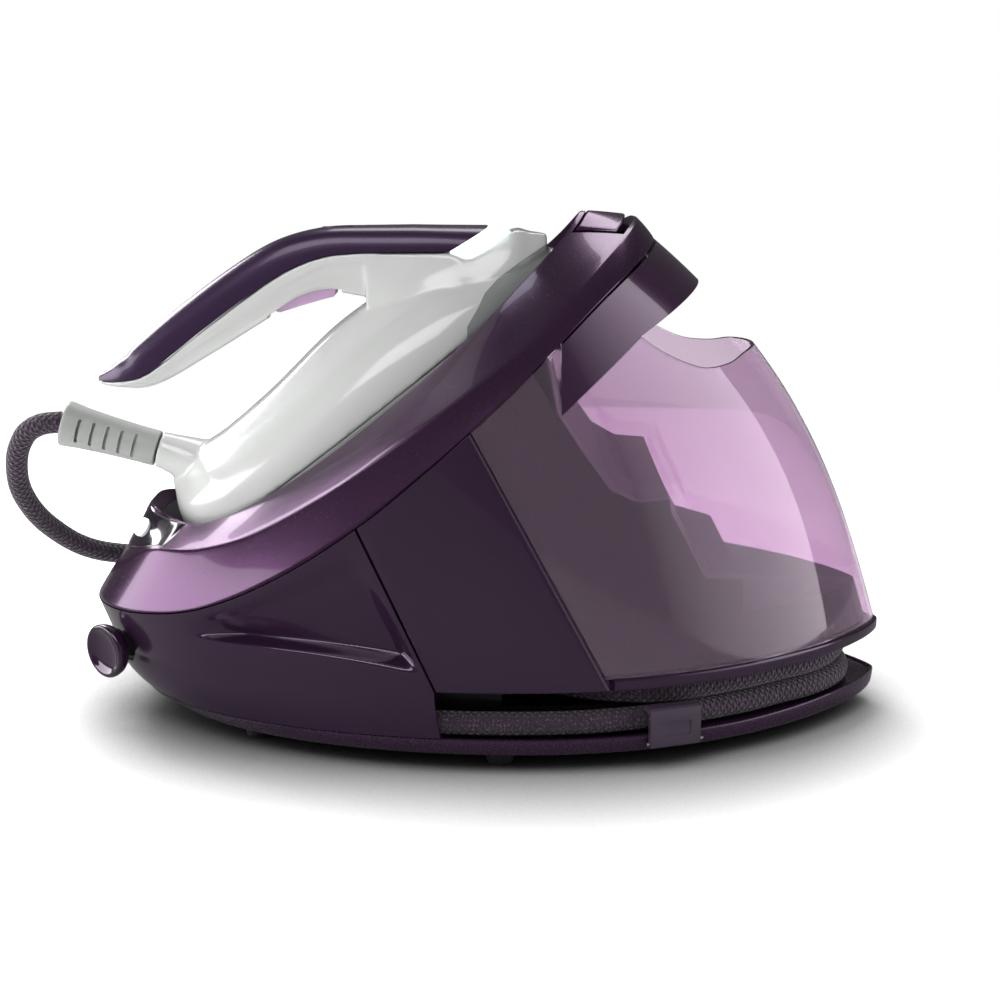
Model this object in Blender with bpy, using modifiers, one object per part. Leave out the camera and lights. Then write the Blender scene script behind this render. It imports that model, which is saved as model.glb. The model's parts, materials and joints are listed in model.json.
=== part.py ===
"""Steam generator iron: a base with a tilted rest, a removable water tank, and an iron on a steam hose.

Run with: blender --background --python part.py
Lengths below are in millimetres; MM turns them into metres. +X points to the nose of the base, where the
tank is, -Y is the near side and +Z is up. The origin is on the floor, under the middle of the object.
"""
import math

import bmesh
import bpy
from mathutils import Matrix, Vector

MM = 0.001
GAP = 0.35  # left between pieces that touch

# Plan outlines: centre x, reach to the nose, reach to the heel, half width, nose power, heel power.
# A power of 0.5 is an ellipse, less is boxier and more is more pointed.
PLATE = (30, 212, 216, 119, 0.75, 0.50)
PLATE_LIP = (30, 213, 230, 120.5, 0.75, 0.50)
SILL = (30, 214, 246, 121, 0.75, 0.47)
SEAM = (-20, 123, 205, 119, 0.45, 0.45)
CREASE = (-20, 113, 188, 104, 0.48, 0.47)
# Heights of the ring's two outer edges along x.
SEAM_HEIGHTS = ((-225, 73), (-190, 77), (-150, 86.6), (-106, 108), (-62, 137.7), (-24, 169.5),
                (11, 200.6), (44, 231.6), (71, 256.8), (103, 281.5))
CREASE_HEIGHTS = ((-208, 99), (-184, 109.5), (-152, 115.6), (-116, 129.4), (-65, 161.3), (-19, 195),
                  (31, 234), (63, 266), (93, 293.5))

PLATE_Z = (9.0, 13.0, 20.0)
SILL_Z = 46.8
TANK_Z = 54.0
WALL = 3.0

PANEL_ANGLE = 101.6  # the seam between the rear housing and a side panel
TANK_ANGLE = (77.6, 80.9)  # the seam between a side panel and the tank, at the sill and at the ring

# The iron lies on a plane tilted about Y. s runs up along the plate to its tip, n stands off the plate.
TILT = math.radians(37.6)
IRON_ORIGIN = (-60.0, 183.0)
IRON = (-31, 176, 100, 61.5, 0.68, 0.35)
RIM = (-31, 196, 105, 66, 0.68, 0.35)
RIM_OFFSETS = ((-136, 37), (-126, 23), (-112, 12), (-79, 4), (-32, 0), (25, 0), (76, 3), (115, 8),
               (147, 12), (167, 17))
SOLE_N = (-14.0, -9.4)
SKIRT_N = (-9.0, 0.7)
SHELL_N = 1.1
TRAY_N = -17.0

# Side profile of the tank's back and floor, from the notch under the grip down to the nose.
MOUTH = ((91, 235), (99, 229), (109, 223), (121, 217.5), (131, 215), (144, 216), (154, 219.5), (170, 222))

HOSE_D = 13.0
KNOB_CENTRE = (-212.0, -52.5, 49.0)
KNOB_AXIS = Vector((-0.64, -0.768, -0.03)).normalized()
GLAND_START = (-150.0, 70.0, 60.0)
GLAND_AXIS = Vector((-0.50, 0.86, 0.0)).normalized()

COLOURS = {
    "aubergine_gloss": ((0.045, 0.018, 0.050), 0.12, 0.0),
    "lilac_gloss": ((0.150, 0.065, 0.160), 0.22, 0.6),
    "tank_clear": ((0.420, 0.200, 0.420), 0.05, 0.0),
    "white_gloss": ((0.800, 0.810, 0.790), 0.15, 0.0),
    "grey_satin": ((0.380, 0.390, 0.380), 0.45, 0.0),
    "purple_satin": ((0.060, 0.028, 0.075), 0.32, 0.0),
    "lilac_clear": ((0.500, 0.330, 0.520), 0.20, 0.0),
    "light_white": ((0.900, 0.950, 1.000), 0.30, 0.0),
    "black_rubber": ((0.020, 0.020, 0.022), 0.80, 0.0),
    "dark_plastic": ((0.030, 0.024, 0.032), 0.50, 0.0),
    "aluminium": ((0.600, 0.610, 0.620), 0.35, 1.0),
    "steel": ((0.560, 0.560, 0.550), 0.25, 1.0),
    "brass": ((0.660, 0.480, 0.200), 0.30, 1.0),
    "board_green": ((0.030, 0.160, 0.070), 0.50, 0.0),
    "silicone": ((0.550, 0.540, 0.520), 0.60, 0.0),
    "braid": ((0.060, 0.025, 0.070), 0.70, 0.0),
}


# ---------------------------------------------------------------- scene and materials
def clear_scene():
    for obj in list(bpy.data.objects):
        bpy.data.objects.remove(obj, do_unlink=True)


def new_collection(name):
    collection = bpy.data.collections.new(name)
    bpy.context.scene.collection.children.link(collection)
    return collection


clear_scene()
PARTS = new_collection("steam_generator_iron")
CUTTERS = new_collection("cutters")


def material(name):
    found = bpy.data.materials.get(name)
    if found:
        return found
    colour, roughness, metallic = COLOURS[name]
    made = bpy.data.materials.new(name)
    made.use_nodes = True
    shader = made.node_tree.nodes["Principled BSDF"]
    shader.inputs["Base Color"].default_value = (*colour, 1)
    shader.inputs["Roughness"].default_value = roughness
    shader.inputs["Metallic"].default_value = metallic
    return made


# ---------------------------------------------------------------- outlines and surfaces
def smooth(points, x):
    """Height at x on a smooth curve through the points (x, height)."""
    last = len(points) - 2
    i = max(0, min(last, sum(x > p[0] for p in points) - 1))
    (x0, y0), (x1, y1) = points[i], points[i + 1]
    before = points[max(0, i - 1)]
    after = points[min(len(points) - 1, i + 2)]
    slope0 = (y1 - before[1]) / (x1 - before[0])
    slope1 = (after[1] - y0) / (after[0] - x0)
    t = (x - x0) / (x1 - x0)
    if not 0 <= t <= 1:
        return y0 + t * (y1 - y0)
    width = x1 - x0
    return (
        (2 * t**3 - 3 * t**2 + 1) * y0
        + (t**3 - 2 * t**2 + t) * width * slope0
        + (3 * t**2 - 2 * t**3) * y1
        + (t**3 - t**2) * width * slope1
    )


def outline(angle, shape, grow=0.0):
    """Point of a plan outline at an angle in degrees: 0 is the nose, 180 the heel, and -90 the near side."""
    centre, nose, heel, half_width, nose_power, heel_power = shape
    c, s = math.cos(math.radians(angle)), math.sin(math.radians(angle))
    reach, power = (nose, nose_power) if c >= 0 else (heel, heel_power)
    side = math.copysign(abs(s) ** (2 * power), s) if abs(s) > 1e-9 else 0.0
    return centre + (reach + grow) * c, (half_width + grow) * side


def ring_angles(count):
    return [360 * i / count - 180 for i in range(count)]


def level(shape, z, grow=0.0, count=48):
    return [(*outline(a, shape, grow), z) for a in ring_angles(count)]


def tilted(s, y, n):
    """World point of a place in the iron's tilted frame."""
    c, d = math.cos(TILT), math.sin(TILT)
    return (IRON_ORIGIN[0] + s * c - n * d, y, IRON_ORIGIN[1] + s * d + n * c)


def seam_point(angle, grow=0.0):
    x, y = outline(angle, SEAM, grow)
    return x, y, smooth(SEAM_HEIGHTS, outline(angle, SEAM)[0])


def crease_point(angle, grow=0.0, drop=0.0):
    x, y = outline(angle, CREASE, grow)
    return x, y, smooth(CREASE_HEIGHTS, outline(angle, CREASE)[0]) - drop


def rim_point(angle, grow=0.0, drop=0.0):
    """Point of the ring's inner edge, or of its wall a little lower."""
    s, y = outline(angle, RIM, grow)
    return tilted(s, y, smooth(RIM_OFFSETS, outline(angle, RIM)[0]) - drop)


def hull(angle, t, grow=0.0):
    """Point of the base's outer skin: t is 0 at the sill and 1 at the ring's seam."""
    x0, y0 = outline(angle, SILL, grow)
    x1, y1, z1 = seam_point(angle, grow)
    nose = max(0.0, math.cos(math.radians(angle))) ** 2
    f = (1 - nose) * t + nose * (0.5 * t + 0.5 * t**3)
    return x0 + (x1 - x0) * f, y0 + (y1 - y0) * t, SILL_Z + (z1 - SILL_Z) * t


def tank_edge(t):
    return TANK_ANGLE[0] + (TANK_ANGLE[1] - TANK_ANGLE[0]) * t


# ---------------------------------------------------------------- making objects
def scaled(points):
    return [tuple(MM * c for c in p) for p in points]


def finish(name, mesh, look, collection=None):
    obj = bpy.data.objects.new(name, mesh)
    (collection or PARTS).objects.link(obj)
    if look:
        mesh.materials.append(material(look))
        mesh.shade_smooth()
        mesh.set_sharp_from_angle(angle=math.radians(32))
    else:
        obj.hide_render = True
        obj.display_type = "WIRE"
    return obj


def made(name, points, faces, look, collection=None):
    mesh = bpy.data.meshes.new(name)
    mesh.from_pydata(scaled(points), [], faces)
    mesh.validate()
    work = bmesh.new()
    work.from_mesh(mesh)
    bmesh.ops.remove_doubles(work, verts=work.verts, dist=1e-6)
    bmesh.ops.triangulate(work, faces=[f for f in work.faces if len(f.verts) > 4])
    bmesh.ops.recalc_face_normals(work, faces=work.faces)
    work.to_mesh(mesh)
    work.free()
    return finish(name, mesh, look, collection)


def loft(name, loops, look, closed=False, collection=None):
    """Skin through closed loops of points. closed joins the last loop to the first, otherwise both are capped."""
    count = len(loops[0])
    points = [p for loop in loops for p in loop]
    faces = []
    pairs = list(zip(range(len(loops) - 1), range(1, len(loops))))
    if closed:
        pairs.append((len(loops) - 1, 0))
    for a, b in pairs:
        for i in range(count):
            j = (i + 1) % count
            faces.append((a * count + i, a * count + j, b * count + j, b * count + i))
    if not closed:
        faces.append(tuple(reversed(range(count))))
        faces.append(tuple(range(len(points) - count, len(points))))
    return made(name, points, faces, look, collection)


def sheet(name, point, us, vs, look, thickness, collection=None):
    """An open grid of points with thickness behind it."""
    points = [point(u, v) for v in vs for u in us]
    wide = len(us)
    faces = [
        (r * wide + c, r * wide + c + 1, (r + 1) * wide + c + 1, (r + 1) * wide + c)
        for r in range(len(vs) - 1)
        for c in range(wide - 1)
    ]
    mesh = bpy.data.meshes.new(name)
    mesh.from_pydata(scaled(points), [], faces)
    obj = finish(name, mesh, look, collection)
    solid = obj.modifiers.new("thickness", "SOLIDIFY")
    solid.thickness = thickness * MM
    solid.offset = -1
    solid.use_even_offset = False
    return obj


def slab(name, outer, inner, us, vs, look):
    """A closed wall between two grids of points over the same parameters."""
    wide, tall = len(us), len(vs)
    points = [side(u, v) for side in (outer, inner) for v in vs for u in us]
    far = wide * tall
    faces = []
    for r in range(tall - 1):
        for c in range(wide - 1):
            quad = (r * wide + c, r * wide + c + 1, (r + 1) * wide + c + 1, (r + 1) * wide + c)
            faces.append(quad)
            faces.append(tuple(far + i for i in reversed(quad)))
    border = [c for c in range(wide)] + [r * wide + wide - 1 for r in range(1, tall)]
    border += [(tall - 1) * wide + c for c in range(wide - 2, -1, -1)] + [r * wide for r in range(tall - 2, 0, -1)]
    for a, b in zip(border, border[1:] + border[:1]):
        faces.append((b, a, far + a, far + b))
    return made(name, points, faces, look)


def steps(first, last, count):
    return [first + (last - first) * i / count for i in range(count + 1)]


def prism(name, outline_xz, y0, y1, look=None, collection=None):
    """A side view outline (x, z) extruded from y0 to y1."""
    front = [(x, y0, z) for x, z in outline_xz]
    back = [(x, y1, z) for x, z in outline_xz]
    return loft(name, [front, back], look, collection=collection or (None if look else CUTTERS))


def block(name, centre, size, look, rotation=None, bevel=1.0, collection=None):
    mesh = bpy.data.meshes.new(name)
    work = bmesh.new()
    bmesh.ops.create_cube(work, size=1.0)
    bmesh.ops.scale(work, vec=[s * MM for s in size], verts=work.verts)
    work.to_mesh(mesh)
    work.free()
    obj = finish(name, mesh, look, collection)
    obj.location = [c * MM for c in centre]
    if rotation is not None:
        obj.rotation_euler = rotation.to_euler() if isinstance(rotation, Matrix) else rotation
    if bevel and look:
        rounding = obj.modifiers.new("rounding", "BEVEL")
        rounding.width = bevel * MM
        rounding.segments = 1
    return obj


def turned(name, centre, axis, profile, look, sides=24, collection=None):
    """A turned piece: profile is (along, radius) pairs from one end to the other, capped at both ends."""
    turn = Vector((0, 0, 1)).rotation_difference(Vector(axis).normalized()).to_matrix()
    loops = []
    for along, radius in profile:
        loop = []
        for i in range(sides):
            a = 2 * math.pi * i / sides
            place = turn @ Vector((radius * math.cos(a), radius * math.sin(a), along)) + Vector(centre)
            loop.append(tuple(place))
        loops.append(loop)
    return loft(name, loops, look, collection=collection)


def tube(name, points, radius, look, resolution=2):
    curve = bpy.data.curves.new(name, "CURVE")
    curve.dimensions = "3D"
    curve.bevel_depth = radius * MM
    curve.bevel_resolution = resolution
    curve.use_fill_caps = True
    spline = curve.splines.new("POLY")
    spline.points.add(len(points) - 1)
    for place, point in zip(spline.points, scaled(points)):
        place.co = (*point, 1)
    obj = bpy.data.objects.new(name, curve)
    PARTS.objects.link(obj)
    curve.materials.append(material(look))
    return obj


def boolean(obj, other, operation="DIFFERENCE"):
    change = obj.modifiers.new(other.name, "BOOLEAN")
    change.object = other
    change.operation = operation
    change.solver = "EXACT"
    return obj


def spline_points(knots, per_span):
    """Points on a smooth curve through the knots, in three dimensions."""
    knots = [Vector(k) for k in knots]
    result = []
    for i in range(len(knots) - 1):
        before = knots[max(0, i - 1)]
        start, end = knots[i], knots[i + 1]
        after = knots[min(len(knots) - 1, i + 2)]
        for k in range(per_span):
            t = k / per_span
            result.append(
                0.5
                * (
                    2 * start
                    + (end - before) * t
                    + (2 * before - 5 * start + 4 * end - after) * t**2
                    + (3 * start - before - 3 * end + after) * t**3
                )
            )
    result.append(knots[-1])
    return [tuple(p) for p in result]


# ---------------------------------------------------------------- base
def lip_height(x):
    return PLATE_Z[2] + 2.0 * min(1.0, max(0.0, (x - 150) / 70))


def build_base_plate():
    angles = ring_angles(56)

    def lip(grow):
        return [(*outline(a, PLATE_LIP, grow), lip_height(outline(a, PLATE_LIP)[0])) for a in angles]

    floor = [(*outline(a, PLATE, -6), 17.5) for a in angles]
    under = [(*outline(a, PLATE, -7), PLATE_Z[0]) for a in angles]
    edge = [(*outline(a, PLATE), PLATE_Z[1]) for a in angles]
    loft("base_plate", [under, edge, lip(0), lip(-2.4), floor], "aubergine_gloss")


def build_feet():
    places = {"foot_near": (15, -100), "foot_far": (15, 100), "foot_heel_near": (-125, -58),
              "foot_heel_far": (-125, 58), "foot_nose": (190, 0)}
    for name, (x, y) in places.items():
        profile = [(0, 6.5), (1.5, 7.5), (PLATE_Z[0] - GAP, 8.0)]
        turned(name, (x, y, 0), (0, 0, 1), profile, "black_rubber", sides=16)


def housing_mask(angle):
    """1 inside the hand recess and 0 outside it, along the housing."""
    a = min(angle, 360 - angle)
    rise = min(1.0, max(0.0, (a - 102.2) / 5.0))
    fall = min(1.0, max(0.0, (135.0 - a) / 5.0))
    return min(rise, fall)


def ledge_t(angle):
    a = min(angle, 360 - angle)
    return 0.11 + 0.48 * min(1.0, max(0.0, (a - 102) / 31))


def housing_point(angle, row, grow=0.0):
    """Row 0 is the bottom edge, 2 the sill height, 3 the recess ledge and 6 the ring's seam."""
    if row < 2:
        f = row / 2
        x0, y0 = outline(angle, PLATE_LIP, grow)
        x1, y1 = outline(angle, SILL, grow)
        ease = 1 - (1 - f) ** 2
        z0 = PLATE_Z[2] + GAP
        return x0 + (x1 - x0) * ease, y0 + (y1 - y0) * ease, z0 + (SILL_Z - z0) * f
    ledge = ledge_t(angle)
    places = {2: (0.0, 0.0), 3: (ledge, 0.0), 4: (ledge + 0.07, 1.0), 5: (0.5 + ledge / 2, 0.55), 6: (0.996, 0.0)}
    t, depth = places[row]
    return hull(angle, t, grow - 11.0 * depth * housing_mask(angle))


def build_housing():
    half = [101.9, 104.4] + [5.625 * k for k in (19, 20, 21, 22, 23)] + [132.2] + [5.625 * k for k in range(24, 32)]
    angles = half + [180] + [360 - a for a in reversed(half)]
    obj = slab("rear_housing", housing_point, lambda a, row: housing_point(a, row, -WALL), angles,
               range(7), "aubergine_gloss")
    knob_hole = turned("knob_hole", KNOB_CENTRE, -KNOB_AXIS, [(-30, 10.3), (60, 10.3)], None, 20, CUTTERS)
    boolean(obj, knob_hole)
    gland_hole = turned("gland_hole", GLAND_START, GLAND_AXIS, [(0, 7.3), (60, 7.3)], None, 16, CUTTERS)
    boolean(obj, gland_hole)


def build_gland():
    profile = [(5, 6.9), (20, 6.9), (26, 5.2)]
    turned("cord_gland", GLAND_START, GLAND_AXIS, profile, "dark_plastic", 16)


def panel_point(side):
    def point(u, t):
        start = tank_edge(t) + 0.15
        angle = start + (PANEL_ANGLE - start) * u
        return hull(side * angle, t)

    return point


def build_side_panels():
    # The near panel runs the other way round, so that both face outwards.
    sheet("side_panel_near", panel_point(-1), list(reversed(steps(0, 1, 5))), steps(0.004, 0.996, 6),
          "aubergine_gloss", WALL)
    sheet("side_panel_far", panel_point(1), steps(0, 1, 5), steps(0.004, 0.996, 6), "aubergine_gloss", WALL)


def dock_loop(z):
    """The shelf under the tank: a C round the nose, set in where the side panels cover it."""
    rear = [(*outline(a, SILL, -4.5), z) for a in (-112, -101, -90, -77.6)]
    front = [(*outline(a, SILL), z) for a in steps(-77.2, 77.2, 30)]
    inner = [(*outline(a, SILL, -34), z) for a in steps(112, -112, 30)]
    return rear + front + [(x, -y, h) for x, y, h in reversed(rear)] + inner


def build_dock():
    loft("dock_frame", [dock_loop(SILL_Z), dock_loop(TANK_Z - GAP)], "aubergine_gloss")


SLOT_WALL = (30, 178, 208, 95.5, 0.72, 0.5)


def build_slot_wall():
    low, high = 17.5 + GAP, SILL_Z - GAP
    loops = [level(SLOT_WALL, low, 0), level(SLOT_WALL, high, 0), level(SLOT_WALL, high, -2.5),
             level(SLOT_WALL, low, -2.5)]
    obj = loft("slot_wall", loops, "dark_plastic", closed=True)
    boolean(obj, block("hose_notch", (58, -90, 39), (84, 40, 17), None, collection=CUTTERS))


def ring_loops(count):
    angles = ring_angles(count)
    seam = [(p[0], p[1], p[2] + 0.45) for p in (seam_point(a) for a in angles)]
    seam_in = [(p[0], p[1], q[2]) for p, q in zip((seam_point(a, -6) for a in angles), seam)]
    crease = [crease_point(a) for a in angles]
    crease_in = [crease_point(a, -5, 5) for a in angles]
    rim = [rim_point(a) for a in angles]
    wall = [rim_point(a, 0, 9) for a in angles]
    wall_out = [rim_point(a, 3, 9) for a in angles]
    return [seam, crease, rim, wall, wall_out, crease_in, seam_in]


def band(angle, r, lift=0.0):
    """Point on the ring's upper band: r is 0 at the crease and 1 at the iron's rim."""
    def flat(a, q):
        return Vector(crease_point(a)).lerp(Vector(rim_point(a)), q)

    across = flat(angle + 1, r) - flat(angle - 1, r)
    along = flat(angle, r + 0.05) - flat(angle, r - 0.05)
    return flat(angle, r) + across.cross(along).normalized() * lift


def build_ring():
    ring = loft("tray_ring", ring_loops(64), "lilac_gloss", closed=True)
    pocket = sheet("lock_pocket", lambda a, r: band(a, r, 5), steps(-21.5, 21.5, 8), (0.05, 0.35, 0.65, 0.90),
                   None, 14, CUTTERS)
    boolean(ring, pocket)
    for name, angle in BUTTONS.items():
        hole = button_body("hole_" + name, angle, -14, 6, 6.0, None, CUTTERS)
        boolean(ring, hole)


BUTTONS = {"power_button": 180, "steam_button": 166, "eco_button": 194}
BUTTON_R = 5.6
BUTTON_ROW = 0.52


def button_axis(angle):
    return (band(angle, BUTTON_ROW, 1) - band(angle, BUTTON_ROW)).normalized()


def button_body(name, angle, low, high, radius, look, collection=None):
    centre, axis = band(angle, BUTTON_ROW), button_axis(angle)
    return turned(name, centre, axis, [(low, radius), (high, radius)], look, 20, collection)


def build_controls():
    panel = sheet("control_panel", lambda a, r: band(a, r, 2.3), steps(146.25, 213.75, 12),
                  (0.1, 0.37, 0.64, 0.92), "dark_plastic", 1.1)
    for name, angle in BUTTONS.items():
        hole = button_body("panel_" + name, angle, -4, 6, 6.0, None, CUTTERS)
        boolean(panel, hole)
        button_body(name, angle, -4.0, 3.0, BUTTON_R, "light_white")
    sheet("switch_board", lambda a, r: band(a, r, -9.0), steps(157.5, 202.5, 4), (0.38, 0.52, 0.66),
          "board_green", 1.5)


def build_lock():
    sheet("carry_lock_button", lambda a, r: band(a, r, 0.8), steps(-20, 20, 8), (0.20, 0.42, 0.64, 0.86),
          "lilac_gloss", 2.6)
    block("lock_latch", (90, 0, 279.5), (8, 14, 4), "steel", None, 0.6)


def tray_loop(grow, offset, floor=None):
    result = []
    for a in ring_angles(40):
        s, y = outline(a, RIM, grow)
        n = floor if floor is not None else smooth(RIM_OFFSETS, outline(a, RIM)[0]) - offset
        result.append(tilted(s, y, n))
    return result


def build_tray():
    loops = [tray_loop(-0.6, 0, TRAY_N), tray_loop(0, 9.4), tray_loop(2.6, 9.4), tray_loop(1.9, 0, TRAY_N - 2.5)]
    loft("iron_tray", loops, "dark_plastic")
    tilt = (0, -TILT, 0)
    high = SOLE_N[0] - GAP
    for name, s, width in (("rest_pad_front", 62, 46), ("rest_pad_mid", -20, 84), ("rest_pad_heel", -95, 70)):
        low = TRAY_N + GAP
        block(name, tilted(s, 0, (low + high) / 2), (12, width, high - low), "silicone", tilt, 0.5)


def on_knob(along):
    return Vector(KNOB_CENTRE) + KNOB_AXIS * along


def build_knob():
    turned("decalc_knob", KNOB_CENTRE, KNOB_AXIS,
           [(-7, 7), (-6, 12.5), (-3, 15.2), (1.5, 15.9), (3.2, 14.8), (2.0, 12.0), (0.6, 7), (0.2, 1.0)],
           "aubergine_gloss", 28)
    turned("decalc_plug", on_knob(-7 - GAP), -KNOB_AXIS, [(0, 7), (12, 7), (13, 5.6), (28, 5.6)], "dark_plastic", 20)
    seal = turned("decalc_seal", on_knob(-7 - GAP), -KNOB_AXIS,
                  [(15, 7.0), (15.6, 7.6), (18.0, 7.6), (18.6, 7.0)], "silicone", 20)
    bore = turned("seal_bore", on_knob(-7), -KNOB_AXIS, [(10, 5.95), (30, 5.95)], None, 20, CUTTERS)
    boolean(seal, bore)
    boss = turned("decalc_boss", on_knob(-7 - GAP), -KNOB_AXIS, [(9, 10.0), (33, 10.0)], "dark_plastic", 24)
    boolean(boss, turned("boss_bore", on_knob(-7), -KNOB_AXIS, [(0, 8.0), (30, 8.0)], None, 24, CUTTERS))


CLIP_PLACE = (111.0, -109.3, 15.6)
CLIP_TURN = math.radians(19.0)


def clip_frame(along, out, up):
    """World point of a place on the hose clip: along its pin, outwards from the base, and up."""
    c, s = math.cos(CLIP_TURN), math.sin(CLIP_TURN)
    return (CLIP_PLACE[0] + along * c + out * s, CLIP_PLACE[1] + along * s - out * c, CLIP_PLACE[2] + up)


def build_clip():
    side = [(-1.6, -2.0), (1.6, -2.0), (1.7, 15.5), (1.0, 19.0), (-0.5, 20.0), (-7.5, 19.6), (-7.5, 17.6),
            (-2.6, 17.0), (-1.6, 15.5)]
    loops = [[clip_frame(along, out, up) for out, up in side] for along in (-15, 15)]
    clip = loft("hose_clip", loops, "purple_satin")
    axis = Vector(clip_frame(1, 0, 0)) - Vector(clip_frame(0, 0, 0))
    bore = turned("clip_bore", clip_frame(-20, 0, 0), axis, [(0, 1.35), (40, 1.35)], None, 12, CUTTERS)
    boolean(clip, bore)
    turned("clip_pin", clip_frame(-17, 0, 0), axis, [(0, 1.1), (34, 1.1)], "steel", 12)


# ---------------------------------------------------------------- tank and inner body
def d_loops(grow, edge, rows=9, low=TANK_Z, count=30, top=0.996):
    """Loops of the hull in front of a chord between the two sides at an edge angle."""
    loops = []
    for k in steps(0, 1, rows):
        loop = []
        for i in range(count + 1):
            f = 2 * i / count - 1
            t_low = (low - SILL_Z) / (seam_point(f * edge(0))[2] - SILL_Z)
            t = t_low + (top - t_low) * k
            loop.append(hull(f * edge(t), t, grow))
        loops.append(loop)
    return loops


def build_tank():
    tank = loft("water_tank", d_loops(0, lambda t: tank_edge(t) - 0.15), "tank_clear")
    water = [(55, 197), (92, 229), (96, 262), (262, 262), (262, 84)]
    water += [(224, 89), (185, 102), (135, 112), (116, 146), (114.5, 156), (91, 156), (79.5, 164), (68, 181)]
    room = [(226, 83), (185, 96), (131, 106), (110.5, 141), (110, 150), (89, 150), (76, 158.5), (62, 177.5),
            (47, 197), (40, 340), (-120, 340), (-120, 30), (262, 30), (262, 80)]
    for name, shape in (("water_room", water), ("chassis_room", room)):
        space = prism(name, shape, -150, 150)
        skin = loft(name + "_skin", d_loops(-2.6, lambda t: 97, low=40, top=1.06), None, collection=CUTTERS)
        boolean(space, skin, "INTERSECT")
        boolean(tank, space)
    top = [(47, 196.5)] + list(MOUTH) + [(280, 225), (280, 360), (47, 360)]
    boolean(tank, prism("tank_top", top, -160, 160))


def build_tank_cap():
    cap = loft("tank_cap", d_loops(0, lambda t: tank_edge(t) - 0.15, low=150), "aubergine_gloss")
    keep = [(47.4, 197.2), (91, 235.5), (132, 259.5), (220, 262), (220, 360), (47.4, 360)]
    boolean(cap, prism("cap_slab", keep, -160, 160), "INTERSECT")
    hollow = [(40, 199), (50, 204), (90, 240.5), (96, 244), (96, 262), (75, 252), (40, 226)]
    room = prism("cap_room", hollow, -150, 150)
    skin = loft("cap_skin", d_loops(-3.2, lambda t: 97, low=150, top=1.06), None, collection=CUTTERS)
    boolean(room, skin, "INTERSECT")
    boolean(cap, room)
    turned("tank_valve", (172, 0, 84.5), (0, 0, 1), [(0, 6), (3, 8), (11.8, 8)], "dark_plastic", 20)


def build_chassis():
    shape = [(-20, 54), (-20, 183), (30, 221), (44, 199), (59, 176), (74, 155), (89, 147), (107, 147),
             (108, 140), (128, 102), (150, 98), (150, 81), (232, 78), (240, 54)]
    core = prism("chassis_core", shape, -150, 150, "dark_plastic")
    boolean(core, loft("core_skin", d_loops(-6.4, lambda t: 97, low=40), None, collection=CUTTERS), "INTERSECT")
    hollow = [(-30, 40), (-30, 176), (26, 210), (38, 195), (53, 172), (70, 150), (86, 142), (102, 142),
              (103, 138), (122, 98), (146, 94), (146, 40)]
    room = prism("core_room", hollow, -150, 150)
    skin = loft("room_skin", d_loops(-9.4, lambda t: 112, low=30, top=1.06), None, collection=CUTTERS)
    boolean(room, skin, "INTERSECT")
    boolean(core, room)


def build_boiler_group():
    boiler = turned("boiler", (-62, -60, 90), (0, 1, 0),
                    [(0, 20), (4, 32), (10, 38), (110, 38), (116, 32), (120, 20)], "steel", 28)
    room = turned("boiler_room", (-62, -57, 90), (0, 1, 0),
                  [(0, 18), (4, 30), (10, 35.5), (104, 35.5), (110, 30), (114, 18)], None, 20, CUTTERS)
    boolean(boiler, room)
    boolean(boiler, turned("boiler_port", (-62, 0, 100), (0, 0, 1), [(0, 2.5), (40, 2.5)], None, 10, CUTTERS))
    block("boiler_heater", (-62, 0, 49.2), (56, 84, 4.6), "aluminium")
    turned("safety_valve", (-62, 60 + GAP, 100), (0, 1, 0), [(0, 6), (8, 6), (9, 4), (16, 4)], "brass", 12)
    turned("thermostat", (-62, -60 - GAP, 90), (0, -1, 0), [(0, 11), (5, 11), (6, 5), (9, 5)], "steel", 16)
    block("water_pump", (-125, 38, 72), (42, 36, 30), "dark_plastic", bevel=3)
    block("steam_valve", (-126, -36, 72), (32, 26, 32), "brass", bevel=2)
    block("control_board", (-162, 0, 62), (1.6, 80, 29), "board_green", bevel=0)


def build_pipes():
    suction = [(140, 0, 66), (112, 22, 66), (62, 62, 66), (0, 72, 66), (-60, 75, 66), (-92, 77, 67),
               (-114, 74, 70), (-123, 66, 72), (-125, 56.8, 72)]
    tube("suction_pipe", spline_points(suction, 2), 3.0, "silicone")
    feed = [(-125, 38, 88.6), (-123, 37, 94), (-116, 32, 101), (-106, 26, 107), (-97, 20, 110)]
    tube("feed_pipe", spline_points(feed, 2), 2.2, "silicone")
    steam = [(-62, 0, 128.6), (-66, -4, 134), (-80, -12, 133), (-98, -22, 120), (-116, -32, 106), (-125, -36, 97),
             (-126, -36, 88.5)]
    tube("steam_pipe", spline_points(steam, 2), 2.4, "silicone")
    outlet = [(-126, -36, 54.0), (-120, -38, 46), (-100, -44, 38), (-60, -50, 36), (-20, -52, 38), (-2, -48, 38.4),
              (10.6, -53.6, 38.4)]
    tube("outlet_pipe", spline_points(outlet, 2), 2.6, "silicone")


# ---------------------------------------------------------------- hose
# The stored hose lies in the slot in two turns: (x, distance from the middle) from heel to nose.
COIL = ((-186, 0), (-179, 29), (-155, 56), (-119, 79), (-60, 100), (0, 109), (60, 107.5), (110, 94.5), (150, 76),
        (174, 60.5), (196.6, 45), (214.2, 24.5), (220, 0))
STEP_IN = (0, 0, 0, 0, 3, 6.5, 6, 3, 2.5, 2.5, 2.5, 2.5, 2.5)  # the upper turn lies this much further in
COIL_LOW, COIL_HIGH = 26.0, 39.4
CLIMB = ((-179, 29, 0.0), (-155, 56, 0.1), (-119, 78, 0.5), (-60, 98, 0.95))

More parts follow.
